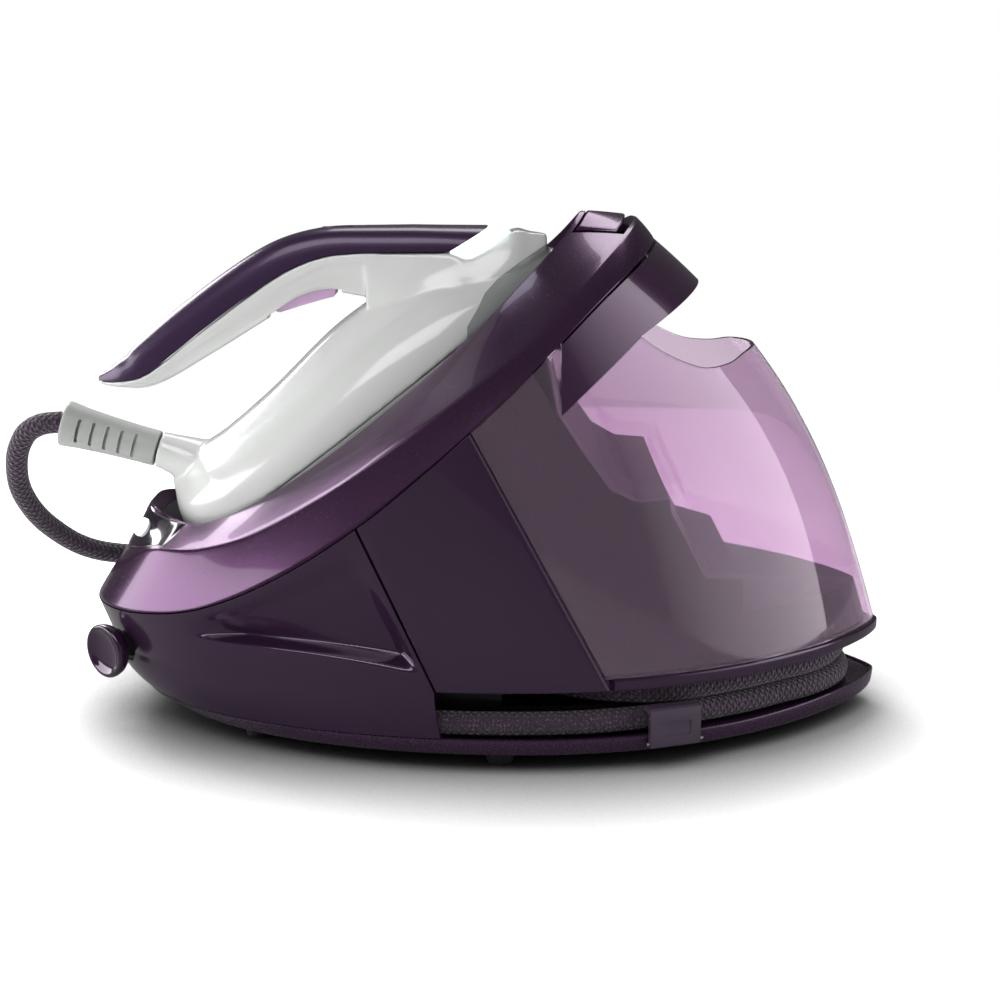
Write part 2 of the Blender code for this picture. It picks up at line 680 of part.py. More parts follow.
LOOP_ROUTE = ((-243.8, 0, 173.2), (-257, 1, 171.5), (-268, 5, 164), (-276, 13, 147), (-277.5, 26, 124),
              (-268, 45, 99), (-246, 71, 76), (-205, 105, 62), (-155, 127, 52), (-105, 134, 41),
              (-60, 133.5, 32), (-25, 128.5, 28))
OUTLET_ROUTE = ((110, -91.5, 39.2), (82, -91.5, 38.8), (56, -83, 38.4), (32, -68, 38.4))
OUTLET_AXIS = Vector((-0.83, 0.557, 0.0)).normalized()


def coil_side(side, order, z, stepped=0.0):
    """Points of one side of the slot, taken in an order of COIL's own points."""
    result = []
    for i in order:
        x, w = COIL[i]
        pull = STEP_IN[i] * stepped
        result.append((x - (pull if i > 10 else 0), side * max(0.0, w - (pull if i < 12 else 0)), z))
    return result


def stored_route():
    """In under the far side, round the nose, along the near side, round the heel, and round the nose again."""
    route = [(-23.7, 128.1, 28), (0, 121.5, 27.6), (25, 113.5, 27.4), (45, 109.3, 26.4), (60, 107.5, COIL_LOW)]
    route += coil_side(1, range(7, 13), COIL_LOW)
    route += coil_side(-1, range(11, -1, -1), COIL_LOW)
    route += [(x, y, COIL_LOW + (COIL_HIGH - COIL_LOW) * rise) for x, y, rise in CLIMB]
    route += coil_side(1, range(5, 13), COIL_HIGH, 1.0)
    route += coil_side(-1, range(11, 7, -1), COIL_HIGH, 1.0)
    return route + list(OUTLET_ROUTE)


def build_hose():
    tube("hose_loop", spline_points(LOOP_ROUTE, 2), HOSE_D / 2, "braid", 3)
    tube("hose_stored", spline_points(stored_route(), 1), HOSE_D / 2, "braid", 2)
    turned("hose_outlet", Vector(OUTLET_ROUTE[-1]) + OUTLET_AXIS * 0.4, OUTLET_AXIS,
           [(0, 7.5), (6, 8.5), (14, 8.5), (16, 5), (24, 5)], "brass", 16)


# ---------------------------------------------------------------- iron
def iron_loop(grow, n, count=44):
    return [tilted(*outline(a, IRON, grow), n) for a in ring_angles(count)]


# The body's section from its bottom edge to its ridge: share of the width, and share of the height.
SECTION = ((1.0, 0.0), (0.992, 0.16), (0.95, 0.36), (0.85, 0.53), (0.69, 0.68), (0.52, 0.80), (0.38, 0.90),
           (0.27, 0.97), (0.12, 1.0))
# Height of the ridge along s, heel to nose.
RIDGE = ((-140, 33), (-125, 38), (-96, 43), (-78, 42.3), (-42, 44), (8, 50), (36, 50), (60, 48), (75, 45.5),
         (90, 38.5), (105, 31), (118, 28.5), (135, 21.5), (146, 13.5))


def body_point(angle, width, height, shrink=0.0):
    """Point of the iron's body: width and height are shares of its outline and of its ridge."""
    c = math.cos(math.radians(angle))
    reach = 1 - (1 - width) * (0.13 if c < 0 else 0.24 + 0.06 * height)
    s = IRON[0] + (outline(angle, IRON, -shrink)[0] - IRON[0]) * reach
    y = outline(angle, IRON, -shrink)[1] * width
    top = smooth(RIDGE, s) - shrink
    n = SHELL_N + (top - SHELL_N) * height
    return tilted(s, y, n)


def body_loops(shrink=0.0, low=None, count=44):
    loops = [[body_point(a, w, h, shrink) for a in ring_angles(count)] for w, h in SECTION]
    if low is not None:
        loops.insert(0, [tilted(*outline(a, IRON, -shrink), low) for a in ring_angles(count)])
    return loops


# The front of the handle stands on the body: x, its floor, its roof, half widths there, at the middle and on top.
NECK = ((-61.6, 236, 274.3, 18, 19.0, 19.6), (-45, 240, 274.3, 24, 21.0, 20.0),
        (-14.4, 248, 274.3, 30, 24.0, 21.5), (-1.0, 252, 271.6, 30, 24.5, 21.5),
        (21.3, 262, 285.6, 24, 19.0, 14.0), (32, 268, 284.9, 18, 12.5, 8.0), (42, 274, 283.6, 11, 7.5, 4.5))


def neck_loops():
    loops = []
    for x, low, high, foot, middle, top in NECK:
        tall = high - low
        half = [(foot, low), (foot * 0.96, low + 0.25 * tall), (middle, low + 0.62 * tall), (top, high)]
        loops.append([(x, y, z) for y, z in half] + [(x, -y, z) for y, z in reversed(half)])
    return loops


def ellipse_loop(x, z, half_y, half_n, axis, count=20):
    across = Vector((-axis.z, 0, axis.x))
    centre = Vector((x, 0, z))
    loop = []
    for i in range(count):
        a = 2 * math.pi * i / count
        loop.append(tuple(centre + across * (half_n * math.sin(a)) + Vector((0, half_y * math.cos(a), 0))))
    return loop


GUARD_AXIS = Vector((-0.962, 0.0, 0.272)).normalized()
GUARD_START = (-187.6, 0.0, 157.2)
# The body's tail, from inside it out to the cord guard.
TAIL = ((-132, 139, 27, 16), (-150, 143.5, 24, 17), (-166, 149, 16.5, 14.5), (-178, 154, 12, 11.8),
        (-187, 157.0, 10.6, 10.6))


def build_iron_body():
    bottom = [iron_loop(-3.5, SOLE_N[0]), iron_loop(-1.5, SOLE_N[0] + 1.2), iron_loop(-1.5, SOLE_N[1])]
    loft("soleplate", bottom, "aluminium")
    ring = [iron_loop(-0.8, SKIRT_N[0]), iron_loop(-0.3, SKIRT_N[1]), iron_loop(-5, SKIRT_N[1]),
            iron_loop(-5, SKIRT_N[0])]
    loft("iron_skirt", ring, "grey_satin", closed=True)
    turn = (0, -TILT, 0)
    block("steam_chamber", tilted(-10, 0, 2), (170, 66, 21), "aluminium", turn, 4)
    shell = loft("iron_shell", body_loops(), "white_gloss")
    boolean(shell, loft("neck", neck_loops(), None, collection=CUTTERS), "UNION")
    tail = [ellipse_loop(*place, GUARD_AXIS) for place in TAIL]
    boolean(shell, loft("tail", tail, None, collection=CUTTERS), "UNION")
    boolean(shell, loft("body_room", body_loops(4.0, -6.0), None, collection=CUTTERS))


def build_guard():
    profile = [(0.4, 10.7), (14, 10.8), (30, 11.4), (45, 12.3), (55, 13.5), (56, 13.2)]
    guard = turned("cord_guard", GUARD_START, GUARD_AXIS, profile, "grey_satin", 24)
    turn = (0, math.atan2(0.272, 0.962), 0)
    for i in range(4):
        centre = Vector(GUARD_START) + GUARD_AXIS * (17 + 9 * i)
        slit = block("slit_%d" % i, centre, (1.8, 60, 13.5), None, turn, 0, CUTTERS)
        keep = block("slit_core_%d" % i, centre, (4, 15.5, 30), None, turn, 0, CUTTERS)
        boolean(slit, keep)
        boolean(guard, slit)


# ---------------------------------------------------------------- handle
# Along the line where cover and grip meet: x, z, height of the cover, depth of the grip, half width.
HANDLE = ((-219.5, 198.5, 3.5, 2.0, 5), (-205, 199.5, 11.5, 5, 13), (-188, 205, 17.5, 9, 17),
          (-160, 226.5, 19, 14, 19), (-130, 248.5, 19, 17, 19.5), (-107, 263.5, 17.8, 18, 19.5),
          (-85, 272, 15.2, 22, 19.5), (-62, 274.2, 14.0, 27, 20))
COVER_FRONT = ((-35, 274.7, 13.8, 21.5), (-22, 274.7, 13.6, 22))
HALF_SECTION = ((1.0, 0.0), (0.97, 0.36), (0.82, 0.74), (0.45, 0.97))


def handle_frames():
    """Place, direction across the parting line, and sizes at each station of the handle."""
    frames = []
    for i, (x, z, up, down, half) in enumerate(HANDLE):
        x0, z0 = HANDLE[max(0, i - 1)][:2]
        x1, z1 = HANDLE[min(len(HANDLE) - 1, i + 1)][:2]
        along = Vector((x1 - x0, 0, z1 - z0)).normalized()
        if i == len(HANDLE) - 1:
            along = Vector((1, 0, 0))
        frames.append((Vector((x, 0, z)), Vector((-along.z, 0, along.x)), up, down, half))
    return frames


def half_loop(place, across, height, half, start):
    points = [(w * half, start + h * (height - start)) for w, h in HALF_SECTION]
    points += [(-w, h) for w, h in reversed(points)]
    return [tuple(place + across * h + Vector((0, w, 0))) for w, h in points]


def grip_loops():
    return [half_loop(place, across, -down, half, 0.0) for place, across, up, down, half in handle_frames()]


def cover_loops(inset=0.0, start=GAP):
    loops = [half_loop(place, across, max(0.6, up - inset), max(1.0, half - inset), start)
             for place, across, up, down, half in handle_frames()]
    for x, z, up, half in COVER_FRONT:
        loops.append(half_loop(Vector((x, 0, z)), Vector((0, 0, 1)), up - inset, half - inset, start))
    lean = Vector((22.4, 0, 13.3)) / 13.3
    loops.append(half_loop(Vector((-14.5 - inset, 0, 274.7)), lean, 13.4 - inset, 21 - inset, start))
    return loops


TRIGGER_PIVOT = (-83.0, 0.0, 253.0)


def build_handle():
    grip = loft("handle_grip", grip_loops(), "grey_satin")
    pocket = [(-119.5, 215), (-119.5, 250), (-112, 257.5), (-100, 259), (-88, 261), (-76, 261), (-76, 215)]
    boolean(grip, prism("trigger_pocket", pocket, -10, 10))
    cover = loft("handle_cover", cover_loops(), "purple_satin")
    boolean(cover, loft("cover_room", cover_loops(2.6, -4.0)[1:], None, collection=CUTTERS))
    boolean(cover, block("button_hole", (-79, 0, 286), (18.9, 11.9, 14), None, None, 0, CUTTERS))
    slant = [(-13.9, 274.7 + GAP), (-1.6, 272.6), (20.6, 286.6), (9.0, 288.3)]
    strip = prism("status_light", slant, -19.5, 19.5, "light_white")
    strip.data.materials[0] = material("light_white")
    block("mode_button", (-79, 0, 285.8), (18, 11, 3.4), "purple_satin", None, 0.8)
    block("iron_board", (-74, 0, 277.6), (40, 20, 1.2), "board_green", None, 0)
    lever = [(-116, 240.2), (-112, 239.2), (-100, 243.0), (-86, 247.0), (-80, 248.5), (-79, 256), (-86, 257),
             (-100, 251.5), (-116, 246)]
    trigger = prism("steam_trigger", lever, -9.3, 9.3, "lilac_clear")
    move_origin(trigger, TRIGGER_PIVOT)
    block("trigger_switch", (-106.5, 0, 255.2), (9, 9, 3.6), "dark_plastic", None, 0.4)


def move_origin(obj, place):
    """Put a moving piece's origin on its joint's axis."""
    offset = Vector(scaled([place])[0])
    obj.data.transform(Matrix.Translation(-offset))
    obj.location = offset


build_base_plate()
build_feet()
build_housing()
build_gland()
build_side_panels()
build_dock()
build_slot_wall()
build_ring()
build_controls()
build_lock()
build_tray()
build_knob()
build_clip()
build_tank()
build_tank_cap()
build_chassis()
build_boiler_group()
build_pipes()
build_hose()
build_iron_body()
build_guard()
build_handle()
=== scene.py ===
"""Looks of the steam generator iron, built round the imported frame: finer surfaces, materials, hose, light, camera.

Lengths below are in millimetres; MM turns them into metres. The shape rules repeat the CAD's own.
"""

import json
import math

import bmesh
import bpy
from mathutils import Matrix, Vector


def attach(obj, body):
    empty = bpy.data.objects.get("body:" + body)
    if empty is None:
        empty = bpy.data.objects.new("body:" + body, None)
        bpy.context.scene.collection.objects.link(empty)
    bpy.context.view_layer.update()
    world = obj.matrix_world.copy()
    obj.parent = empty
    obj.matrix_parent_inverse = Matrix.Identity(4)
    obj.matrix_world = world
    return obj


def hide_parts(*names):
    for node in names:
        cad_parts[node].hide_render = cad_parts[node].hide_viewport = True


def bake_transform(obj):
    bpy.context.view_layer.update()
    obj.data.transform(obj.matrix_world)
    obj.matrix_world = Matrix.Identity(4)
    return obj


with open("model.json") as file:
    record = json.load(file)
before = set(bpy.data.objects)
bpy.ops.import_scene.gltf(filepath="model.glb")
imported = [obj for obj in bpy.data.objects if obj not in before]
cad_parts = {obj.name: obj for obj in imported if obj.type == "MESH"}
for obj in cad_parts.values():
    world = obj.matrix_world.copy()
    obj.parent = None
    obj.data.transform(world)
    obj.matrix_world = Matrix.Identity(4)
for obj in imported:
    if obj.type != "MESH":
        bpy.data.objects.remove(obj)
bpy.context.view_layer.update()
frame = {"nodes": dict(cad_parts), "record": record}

MM = 0.001
# ---------------------------------------------------------------- camera
camera_data = bpy.data.cameras.new("camera")
camera = bpy.data.objects.new("camera", camera_data)
bpy.context.scene.collection.objects.link(camera)
camera.location = (0.015, -0.988, 0.363)
camera.rotation_euler = (math.radians(76.5), 0, 0)
camera_data.lens = 61.2
camera_data.sensor_width = 36
bpy.context.scene.camera = camera
bpy.context.scene.view_settings.view_transform = "Standard"

# ---------------------------------------------------------------- shape rules
# Plan outlines: centre x, reach to the nose, reach to the heel, half width, nose power, heel power.
PLATE = (30, 212, 216, 119, 0.75, 0.50)
PLATE_LIP = (30, 213, 230, 120.5, 0.75, 0.50)
SILL = (30, 214, 246, 121, 0.75, 0.47)
SEAM = (-20, 123, 205, 119, 0.45, 0.45)
CREASE = (-20, 113, 188, 104, 0.48, 0.47)
SEAM_HEIGHTS = ((-225, 73), (-190, 77), (-150, 86.6), (-106, 108), (-62, 137.7), (-24, 169.5),
                (11, 200.6), (44, 231.6), (71, 256.8), (103, 281.5))
CREASE_HEIGHTS = ((-208, 99), (-184, 109.5), (-152, 115.6), (-116, 129.4), (-65, 161.3), (-19, 195),
                  (31, 234), (63, 266), (93, 293.5))
PLATE_TOP = 20.0
SILL_Z = 46.8
TANK_Z = 54.0
PANEL_ANGLE = 101.6
TANK_ANGLE = (77.6, 80.9)

TILT = math.radians(37.6)
IRON_ORIGIN = (-60.0, 183.0)
IRON = (-31, 176, 100, 61.5, 0.68, 0.35)
RIM = (-31, 196, 105, 66, 0.68, 0.35)
RIM_OFFSETS = ((-136, 37), (-126, 23), (-112, 12), (-79, 4), (-32, 0), (25, 0), (76, 3), (115, 8),
               (147, 12), (167, 17))
MOUTH = ((91, 235), (99, 229), (109, 223), (121, 217.5), (131, 215), (144, 216), (154, 219.5), (170, 222))
HOSE_D = 13.0


def smooth(points, x):
    """Height at x on a smooth curve through the points (x, height)."""
    last = len(points) - 2
    i = max(0, min(last, sum(x > p[0] for p in points) - 1))
    (x0, y0), (x1, y1) = points[i], points[i + 1]
    before = points[max(0, i - 1)]
    after = points[min(len(points) - 1, i + 2)]
    slope0 = (y1 - before[1]) / (x1 - before[0])
    slope1 = (after[1] - y0) / (after[0] - x0)
    t = (x - x0) / (x1 - x0)
    if not 0 <= t <= 1:
        return y0 + t * (y1 - y0)
    width = x1 - x0
    return ((2 * t**3 - 3 * t**2 + 1) * y0 + (t**3 - 2 * t**2 + t) * width * slope0
            + (3 * t**2 - 2 * t**3) * y1 + (t**3 - t**2) * width * slope1)


def ramp(x, low, high):
    """0 below low and 1 above high, with soft ends."""
    t = min(1.0, max(0.0, (x - low) / (high - low)))
    return t * t * (3 - 2 * t)


def outline(angle, shape, grow=0.0):
    """Point of a plan outline at an angle in degrees: 0 is the nose, 180 the heel, and -90 the near side."""
    centre, nose, heel, half_width, nose_power, heel_power = shape
    c, s = math.cos(math.radians(angle)), math.sin(math.radians(angle))
    reach, power = (nose, nose_power) if c >= 0 else (heel, heel_power)
    side = math.copysign(abs(s) ** (2 * power), s) if abs(s) > 1e-9 else 0.0
    return centre + (reach + grow) * c, (half_width + grow) * side


def ring_angles(count):
    return [360 * i / count - 180 for i in range(count)]


def steps(first, last, count):
    return [first + (last - first) * i / count for i in range(count + 1)]


def tilted(s, y, n):
    """World point of a place in the iron's tilted frame."""
    c, d = math.cos(TILT), math.sin(TILT)
    return (IRON_ORIGIN[0] + s * c - n * d, y, IRON_ORIGIN[1] + s * d + n * c)


def seam_point(angle, grow=0.0, drop=0.0):
    x, y = outline(angle, SEAM, grow)
    return x, y, smooth(SEAM_HEIGHTS, outline(angle, SEAM)[0]) - drop


def crease_point(angle, grow=0.0, drop=0.0):
    x, y = outline(angle, CREASE, grow)
    return x, y, smooth(CREASE_HEIGHTS, outline(angle, CREASE)[0]) - drop


def rim_point(angle, grow=0.0, drop=0.0):
    s, y = outline(angle, RIM, grow)
    return tilted(s, y, smooth(RIM_OFFSETS, outline(angle, RIM)[0]) - drop)


def hull(angle, t, grow=0.0):
    """Point of the base's outer skin: t is 0 at the sill and 1 at the ring's seam."""
    x0, y0 = outline(angle, SILL, grow)
    x1, y1, z1 = seam_point(angle, grow)
    nose = max(0.0, math.cos(math.radians(angle))) ** 2
    f = (1 - nose) * t + nose * (0.5 * t + 0.5 * t**3)
    return x0 + (x1 - x0) * f, y0 + (y1 - y0) * t, SILL_Z + (z1 - SILL_Z) * t


def tank_edge(t):
    return TANK_ANGLE[0] + (TANK_ANGLE[1] - TANK_ANGLE[0]) * t


def mixed(a, b, t):
    return tuple(p + (q - p) * t for p, q in zip(a, b))


# ---------------------------------------------------------------- mesh tools
LOOKS = {}


def placed(name, data):
    """A new object in the scene."""
    obj = bpy.data.objects.new(name, data)
    bpy.context.scene.collection.objects.link(obj)
    return obj


def finish(name, mesh, look, body, sharp, hides):
    """A finished piece: its look, its body, and the CAD nodes it stands for."""
    obj = placed(name, mesh)
    mesh.materials.append(LOOKS[look])
    mesh.shade_smooth()
    mesh.set_sharp_from_angle(angle=math.radians(sharp))
    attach(obj, body)
    if hides:
        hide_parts(*hides)
    return obj


def built(name, points, faces):
    mesh = bpy.data.meshes.new(name)
    mesh.from_pydata([tuple(MM * c for c in p) for p in points], [], faces)
    work = bmesh.new()
    work.from_mesh(mesh)
    bmesh.ops.remove_doubles(work, verts=work.verts, dist=2e-6)
    bmesh.ops.triangulate(work, faces=[f for f in work.faces if len(f.verts) > 4])
    bmesh.ops.recalc_face_normals(work, faces=work.faces)
    work.to_mesh(mesh)
    work.free()
    return mesh


def loft(name, loops, closed=False):
    count = len(loops[0])
    points = [p for loop in loops for p in loop]
    pairs = [(a, a + 1) for a in range(len(loops) - 1)] + ([(len(loops) - 1, 0)] if closed else [])
    faces = [(a * count + i, a * count + (i + 1) % count, b * count + (i + 1) % count, b * count + i)
             for a, b in pairs for i in range(count)]
    if not closed:
        faces.append(tuple(reversed(range(count))))
        faces.append(tuple(range(len(points) - count, len(points))))
    return built(name, points, faces)


def slab(name, outer, inner, us, vs):
    """A closed wall between two grids of points over the same parameters."""
    wide, tall = len(us), len(vs)
    points = [side(u, v) for side in (outer, inner) for v in vs for u in us]
    far = wide * tall
    faces = []
    for r in range(tall - 1):
        for c in range(wide - 1):
            quad = (r * wide + c, r * wide + c + 1, (r + 1) * wide + c + 1, (r + 1) * wide + c)
            faces.append(quad)
            faces.append(tuple(far + i for i in reversed(quad)))
    border = list(range(wide)) + [r * wide + wide - 1 for r in range(1, tall)]
    border += [(tall - 1) * wide + c for c in range(wide - 2, -1, -1)] + [r * wide for r in range(tall - 2, 0, -1)]
    for a, b in zip(border, border[1:] + border[:1]):
        faces.append((b, a, far + a, far + b))
    return built(name, points, faces)


def prism(name, outline_xz, y0, y1):
    return loft(name, [[(x, y0, z) for x, z in outline_xz], [(x, y1, z) for x, z in outline_xz]])


def circle(count):
    """Cosines and sines round a circle."""
    return [(math.cos(a), math.sin(a)) for a in (2 * math.pi * i / count for i in range(count))]


def turned(name, centre, axis, profile, sides=64):
    turn = Vector((0, 0, 1)).rotation_difference(Vector(axis).normalized()).to_matrix()
    return loft(name, [[tuple(turn @ Vector((radius * c, radius * s, along)) + Vector(centre))
                        for c, s in circle(sides)] for along, radius in profile])


def helper(mesh):
    """An object that is only cut or joined, and removed before the end."""
    return placed(mesh.name, mesh)


def apply_modifiers(obj):
    """Replace an object's mesh by what its modifiers make of it."""
    graph = bpy.context.evaluated_depsgraph_get()
    graph.update()
    mesh = bpy.data.meshes.new_from_object(obj.evaluated_get(graph))
    obj.modifiers.clear()
    obj.data = mesh
    return obj


def boolean(obj, other_mesh, operation="DIFFERENCE"):
    other = helper(other_mesh)
    change = obj.modifiers.new("change", "BOOLEAN")
    change.object = other
    change.operation = operation
    change.solver = "MANIFOLD"
    apply_modifiers(obj)
    bpy.data.objects.remove(other)


def bevelled(obj, width, angle=30):
    change = obj.modifiers.new("rounding", "BEVEL")
    change.width = width * MM
    change.segments = 3
    change.limit_method = "ANGLE"
    change.angle_limit = math.radians(angle)
    return apply_modifiers(obj)


def refined(rows, per_span):
    """More rows of the same numbers, on smooth curves through the given ones."""
    result = []
    for i in range(len(rows) - 1):
        before, after = rows[max(0, i - 1)], rows[min(len(rows) - 1, i + 2)]
        for k in range(per_span):
            t = k / per_span
            result.append(tuple(
                0.5 * (2 * p + (q - o) * t + (2 * o - 5 * p + 4 * q - r) * t**2 + (3 * p - o - 3 * q + r) * t**3)
                for o, p, q, r in zip(before, rows[i], rows[i + 1], after)))
    return result + [rows[-1]]


# ---------------------------------------------------------------- materials
def new_material(name):
    made = bpy.data.materials.new(name)
    made.use_nodes = True
    return made, made.node_tree, made.node_tree.nodes["Principled BSDF"]


def wired(node, inputs):
    """Set inputs of a node to values, or link them to the sockets given; the node itself."""
    for key, value in inputs.items():
        if isinstance(value, bpy.types.NodeSocket):
            node.id_data.links.new(value, node.inputs[key])
        else:
            node.inputs[key].default_value = value
    return node


def new_node(tree, kind, inputs=()):
    """A shader node of a kind, with its inputs set."""
    return wired(tree.nodes.new("ShaderNode" + kind), dict(inputs))


def maths(tree, operation, *values):
    """A Math node on sockets or numbers; its output."""
    node = new_node(tree, "Math")
    node.operation = operation
    return wired(node, dict(enumerate(values))).outputs[0]


def rescaled(tree, value, source, target, clamp=True):
    """A Map Range node from one range to another; its output."""
    node = new_node(tree, "MapRange")
    node.clamp = clamp
    ends = zip(("From Min", "From Max", "To Min", "To Max"), (*source, *target))
    return wired(node, {"Value": value, **dict(ends)}).outputs["Result"]


def mixed_colour(tree, a, b, share, blend="MIX"):
    """A colour Mix node on sockets or colours; its output."""
    node = new_node(tree, "Mix")
    node.data_type, node.blend_type = "RGBA", blend
    return wired(node, {"A": a, "B": b, "Factor": share}).outputs["Result"]


def axes(tree, vector):
    """The X, Y and Z of a vector socket."""
    return new_node(tree, "SeparateXYZ", {"Vector": vector}).outputs


def grain(tree, scale):
    place = new_node(tree, "TexCoord").outputs["Object"]
    return new_node(tree, "TexNoise", {"Scale": scale, "Detail": 4.0, "Vector": place}).outputs["Fac"]


def bumped(tree, shader, height, strength, distance):
    bump = new_node(tree, "Bump", {"Strength": strength, "Distance": distance, "Height": height})
    wired(shader, {"Normal": bump.outputs["Normal"]})


def tinted(tree, shader, noise, dark, light):
    """Let the shader's colour drift between two colours."""
    node = new_node(tree, "ValToRGB", {"Fac": noise})
    for stop, position, colour in zip(node.color_ramp.elements, (0.3, 0.7), (dark, light)):
        stop.position = position
        stop.color = (*colour, 1)
    wired(shader, {"Base Color": node.outputs["Color"]})


def moulded(name, colour, roughness, metallic=0.0, coat=0.0, vary=0.06, fine=900, depth=0.00002):
    """Moulded plastic: faint colour drift, uneven gloss and a fine grain."""
    made, tree, shader = new_material(name)
    tinted(tree, shader, grain(tree, 9), [c * (1 - vary) for c in colour], [c * (1 + vary) for c in colour])
    fast = grain(tree, fine)
    bumped(tree, shader, fast, 0.12, depth)
    gloss = rescaled(tree, fast, (0.3, 0.7), (roughness * 0.85, roughness * 1.15))
    wired(shader, {"Roughness": gloss, "Metallic": metallic, "Coat Weight": coat, "Coat Roughness": 0.04,
                   "IOR": 1.5, "Specular IOR Level": 0.5})
    LOOKS[name] = made
    return tree, shader


def clear_plastic(name, colour, roughness, transmission, ior=1.45):
    """See-through plastic or water. An ior of 1 bends no light."""
    made, tree, shader = new_material(name)
    tinted(tree, shader, grain(tree, 14), [c * 0.97 for c in colour], colour)
    wired(shader, {"Roughness": roughness, "Transmission Weight": transmission, "IOR": ior})
    LOOKS[name] = made


def emissive(name, colour, strength):
    tree, shader = moulded(name, (0.8, 0.85, 0.9), 0.3)
    wired(shader, {"Emission Color": (*colour, 1), "Emission Strength": strength})


# Upper edge of the grey inset beside the iron's nose: (x, z).
INSET_EDGE = ((-3.3, 235.7), (2.6, 245.5), (6.5, 253.3), (14.3, 261.1), (26.9, 269.8), (41.4, 278.4))
# The inset's own grey, with the painted shade of its recess mixed into the colour.
INSET_GREY_AND_SHADE = (0.30, 0.31, 0.31, 1)


def inset_material():
    """The iron's white, with a grey field under the inset's edge line near the nose: the inset's own grey, darkened
    by painted shade of its recess.
    """
    tree, shader = moulded("iron_white", (0.67, 0.68, 0.67), 0.16, coat=0.35, vary=0.015)
    place = axes(tree, new_node(tree, "TexCoord").outputs["Object"])
    (x0, low), (x1, high) = INSET_EDGE[0], INSET_EDGE[-1]
    along = rescaled(tree, place["X"], (x0 * MM, x1 * MM), (0, 1))
    edge = new_node(tree, "ValToRGB", {"Fac": along})
    stops = edge.color_ramp.elements
    for x, z in INSET_EDGE[1:-1]:
        stops.new((x - x0) / (x1 - x0))
    for stop, (x, z) in zip(stops, INSET_EDGE):
        stop.color = (*[(z - low) / (high - low)] * 3, 1)
    height = rescaled(tree, place["Z"], (low * MM, high * MM), (0, 1), clamp=False)
    under = maths(tree, "LESS_THAN", height, edge.outputs["Color"])
    beyond = maths(tree, "GREATER_THAN", place["X"], x0 * MM)
    white = shader.inputs["Base Color"].links[0].from_socket
    # The field under the edge line gets the inset's grey and its painted recess shade.
    wired(shader, {"Base Color": mixed_colour(tree, white, INSET_GREY_AND_SHADE, maths(tree, "MULTIPLY", under, beyond))})


# Strands round the hose, strands along each millimetre of it, and the braid's two colours.
STRANDS_ROUND, STRANDS_ALONG = 8, 0.24
THREAD, FLECK = (0.028, 0.012, 0.030, 1), (0.190, 0.110, 0.200, 1)


def braid_material():
    """Textile braid: strands cross at an angle, with flecks of lighter thread."""
    made, tree, shader = new_material("braid_weave")
    place = new_node(tree, "TexCoord").outputs
    flat = axes(tree, place["UV"])
    around = maths(tree, "MULTIPLY", flat["X"], 2 * math.pi * STRANDS_ROUND)
    along = maths(tree, "MULTIPLY", flat["Y"], 2 * math.pi * STRANDS_ALONG / MM)
    one = maths(tree, "SINE", maths(tree, "ADD", around, along))
    two = maths(tree, "SINE", maths(tree, "SUBTRACT", around, along))
    bumped(tree, shader, maths(tree, "MAXIMUM", one, two), 0.9, 0.0006)
    speck = new_node(tree, "TexVoronoi", {"Scale": 900, "Vector": place["Object"]})
    light = maths(tree, "LESS_THAN", speck.outputs["Distance"], 0.30)
    crossing = maths(tree, "GREATER_THAN", maths(tree, "MULTIPLY", one, two), 0.1)
    colour = mixed_colour(tree, THREAD, FLECK, maths(tree, "MULTIPLY", light, crossing))
    wired(shader, {"Base Color": colour, "Roughness": 0.75, "Sheen Weight": 0.25})
    LOOKS["braid"] = made


def make_materials():
    moulded("ring_pearl", (0.075, 0.030, 0.080), 0.24, metallic=0.75, coat=0.35)
    moulded("dark_gloss", (0.040, 0.017, 0.046), 0.22, metallic=0.45, coat=0.6)
    moulded("plate_gloss", (0.052, 0.022, 0.058), 0.26, metallic=0.45, coat=0.5)
    moulded("cap_gloss", (0.060, 0.024, 0.064), 0.20, metallic=0.5, coat=0.8)
    moulded("core_dark", (0.026, 0.020, 0.027), 0.38, vary=0.1)
    moulded("inner_dark", (0.018, 0.014, 0.019), 0.5, vary=0.1)
    inset_material()
    moulded("handle_grey", (0.40, 0.41, 0.40), 0.42, vary=0.03, fine=1500, depth=0.00004)
    moulded("guard_grey", (0.40, 0.41, 0.395), 0.50, vary=0.04)
    moulded("cover_purple", (0.047, 0.022, 0.064), 0.33, metallic=0.35, coat=0.25, vary=0.05)
    moulded("clip_mauve", (0.060, 0.040, 0.066), 0.42, vary=0.06)
    moulded("knob_purple", (0.034, 0.012, 0.038), 0.14, metallic=0.4, coat=0.8)
    moulded("panel_black", (0.016, 0.010, 0.018), 0.12, coat=0.8)
    moulded("rubber_black", (0.022, 0.022, 0.023), 0.8, vary=0.15, fine=2200, depth=0.0001)
    moulded("metal_cast", (0.56, 0.57, 0.58), 0.38, metallic=1.0)
    moulded("metal_steel", (0.55, 0.55, 0.54), 0.24, metallic=1.0)
    moulded("metal_brass", (0.62, 0.44, 0.18), 0.30, metallic=1.0)
    moulded("board_mask", (0.03, 0.15, 0.07), 0.45)
    moulded("silicone_pale", (0.52, 0.51, 0.49), 0.55, vary=0.05)
    clear_plastic("tank_lilac", (0.69, 0.545, 0.68), 0.03, 0.97)
    clear_plastic("back_clear", (0.96, 0.90, 0.96), 0.0, 1.0, ior=1.0)
    clear_plastic("water_clear", (0.95, 0.90, 0.95), 0.0, 1.0, ior=1.0)
    clear_plastic("trigger_lilac", (0.72, 0.50, 0.74), 0.16, 0.55)
    emissive("key_light", (0.95, 0.98, 1.0), 1.6)
    emissive("strip_light", (0.86, 0.97, 1.0), 1.5)
    braid_material()


make_materials()

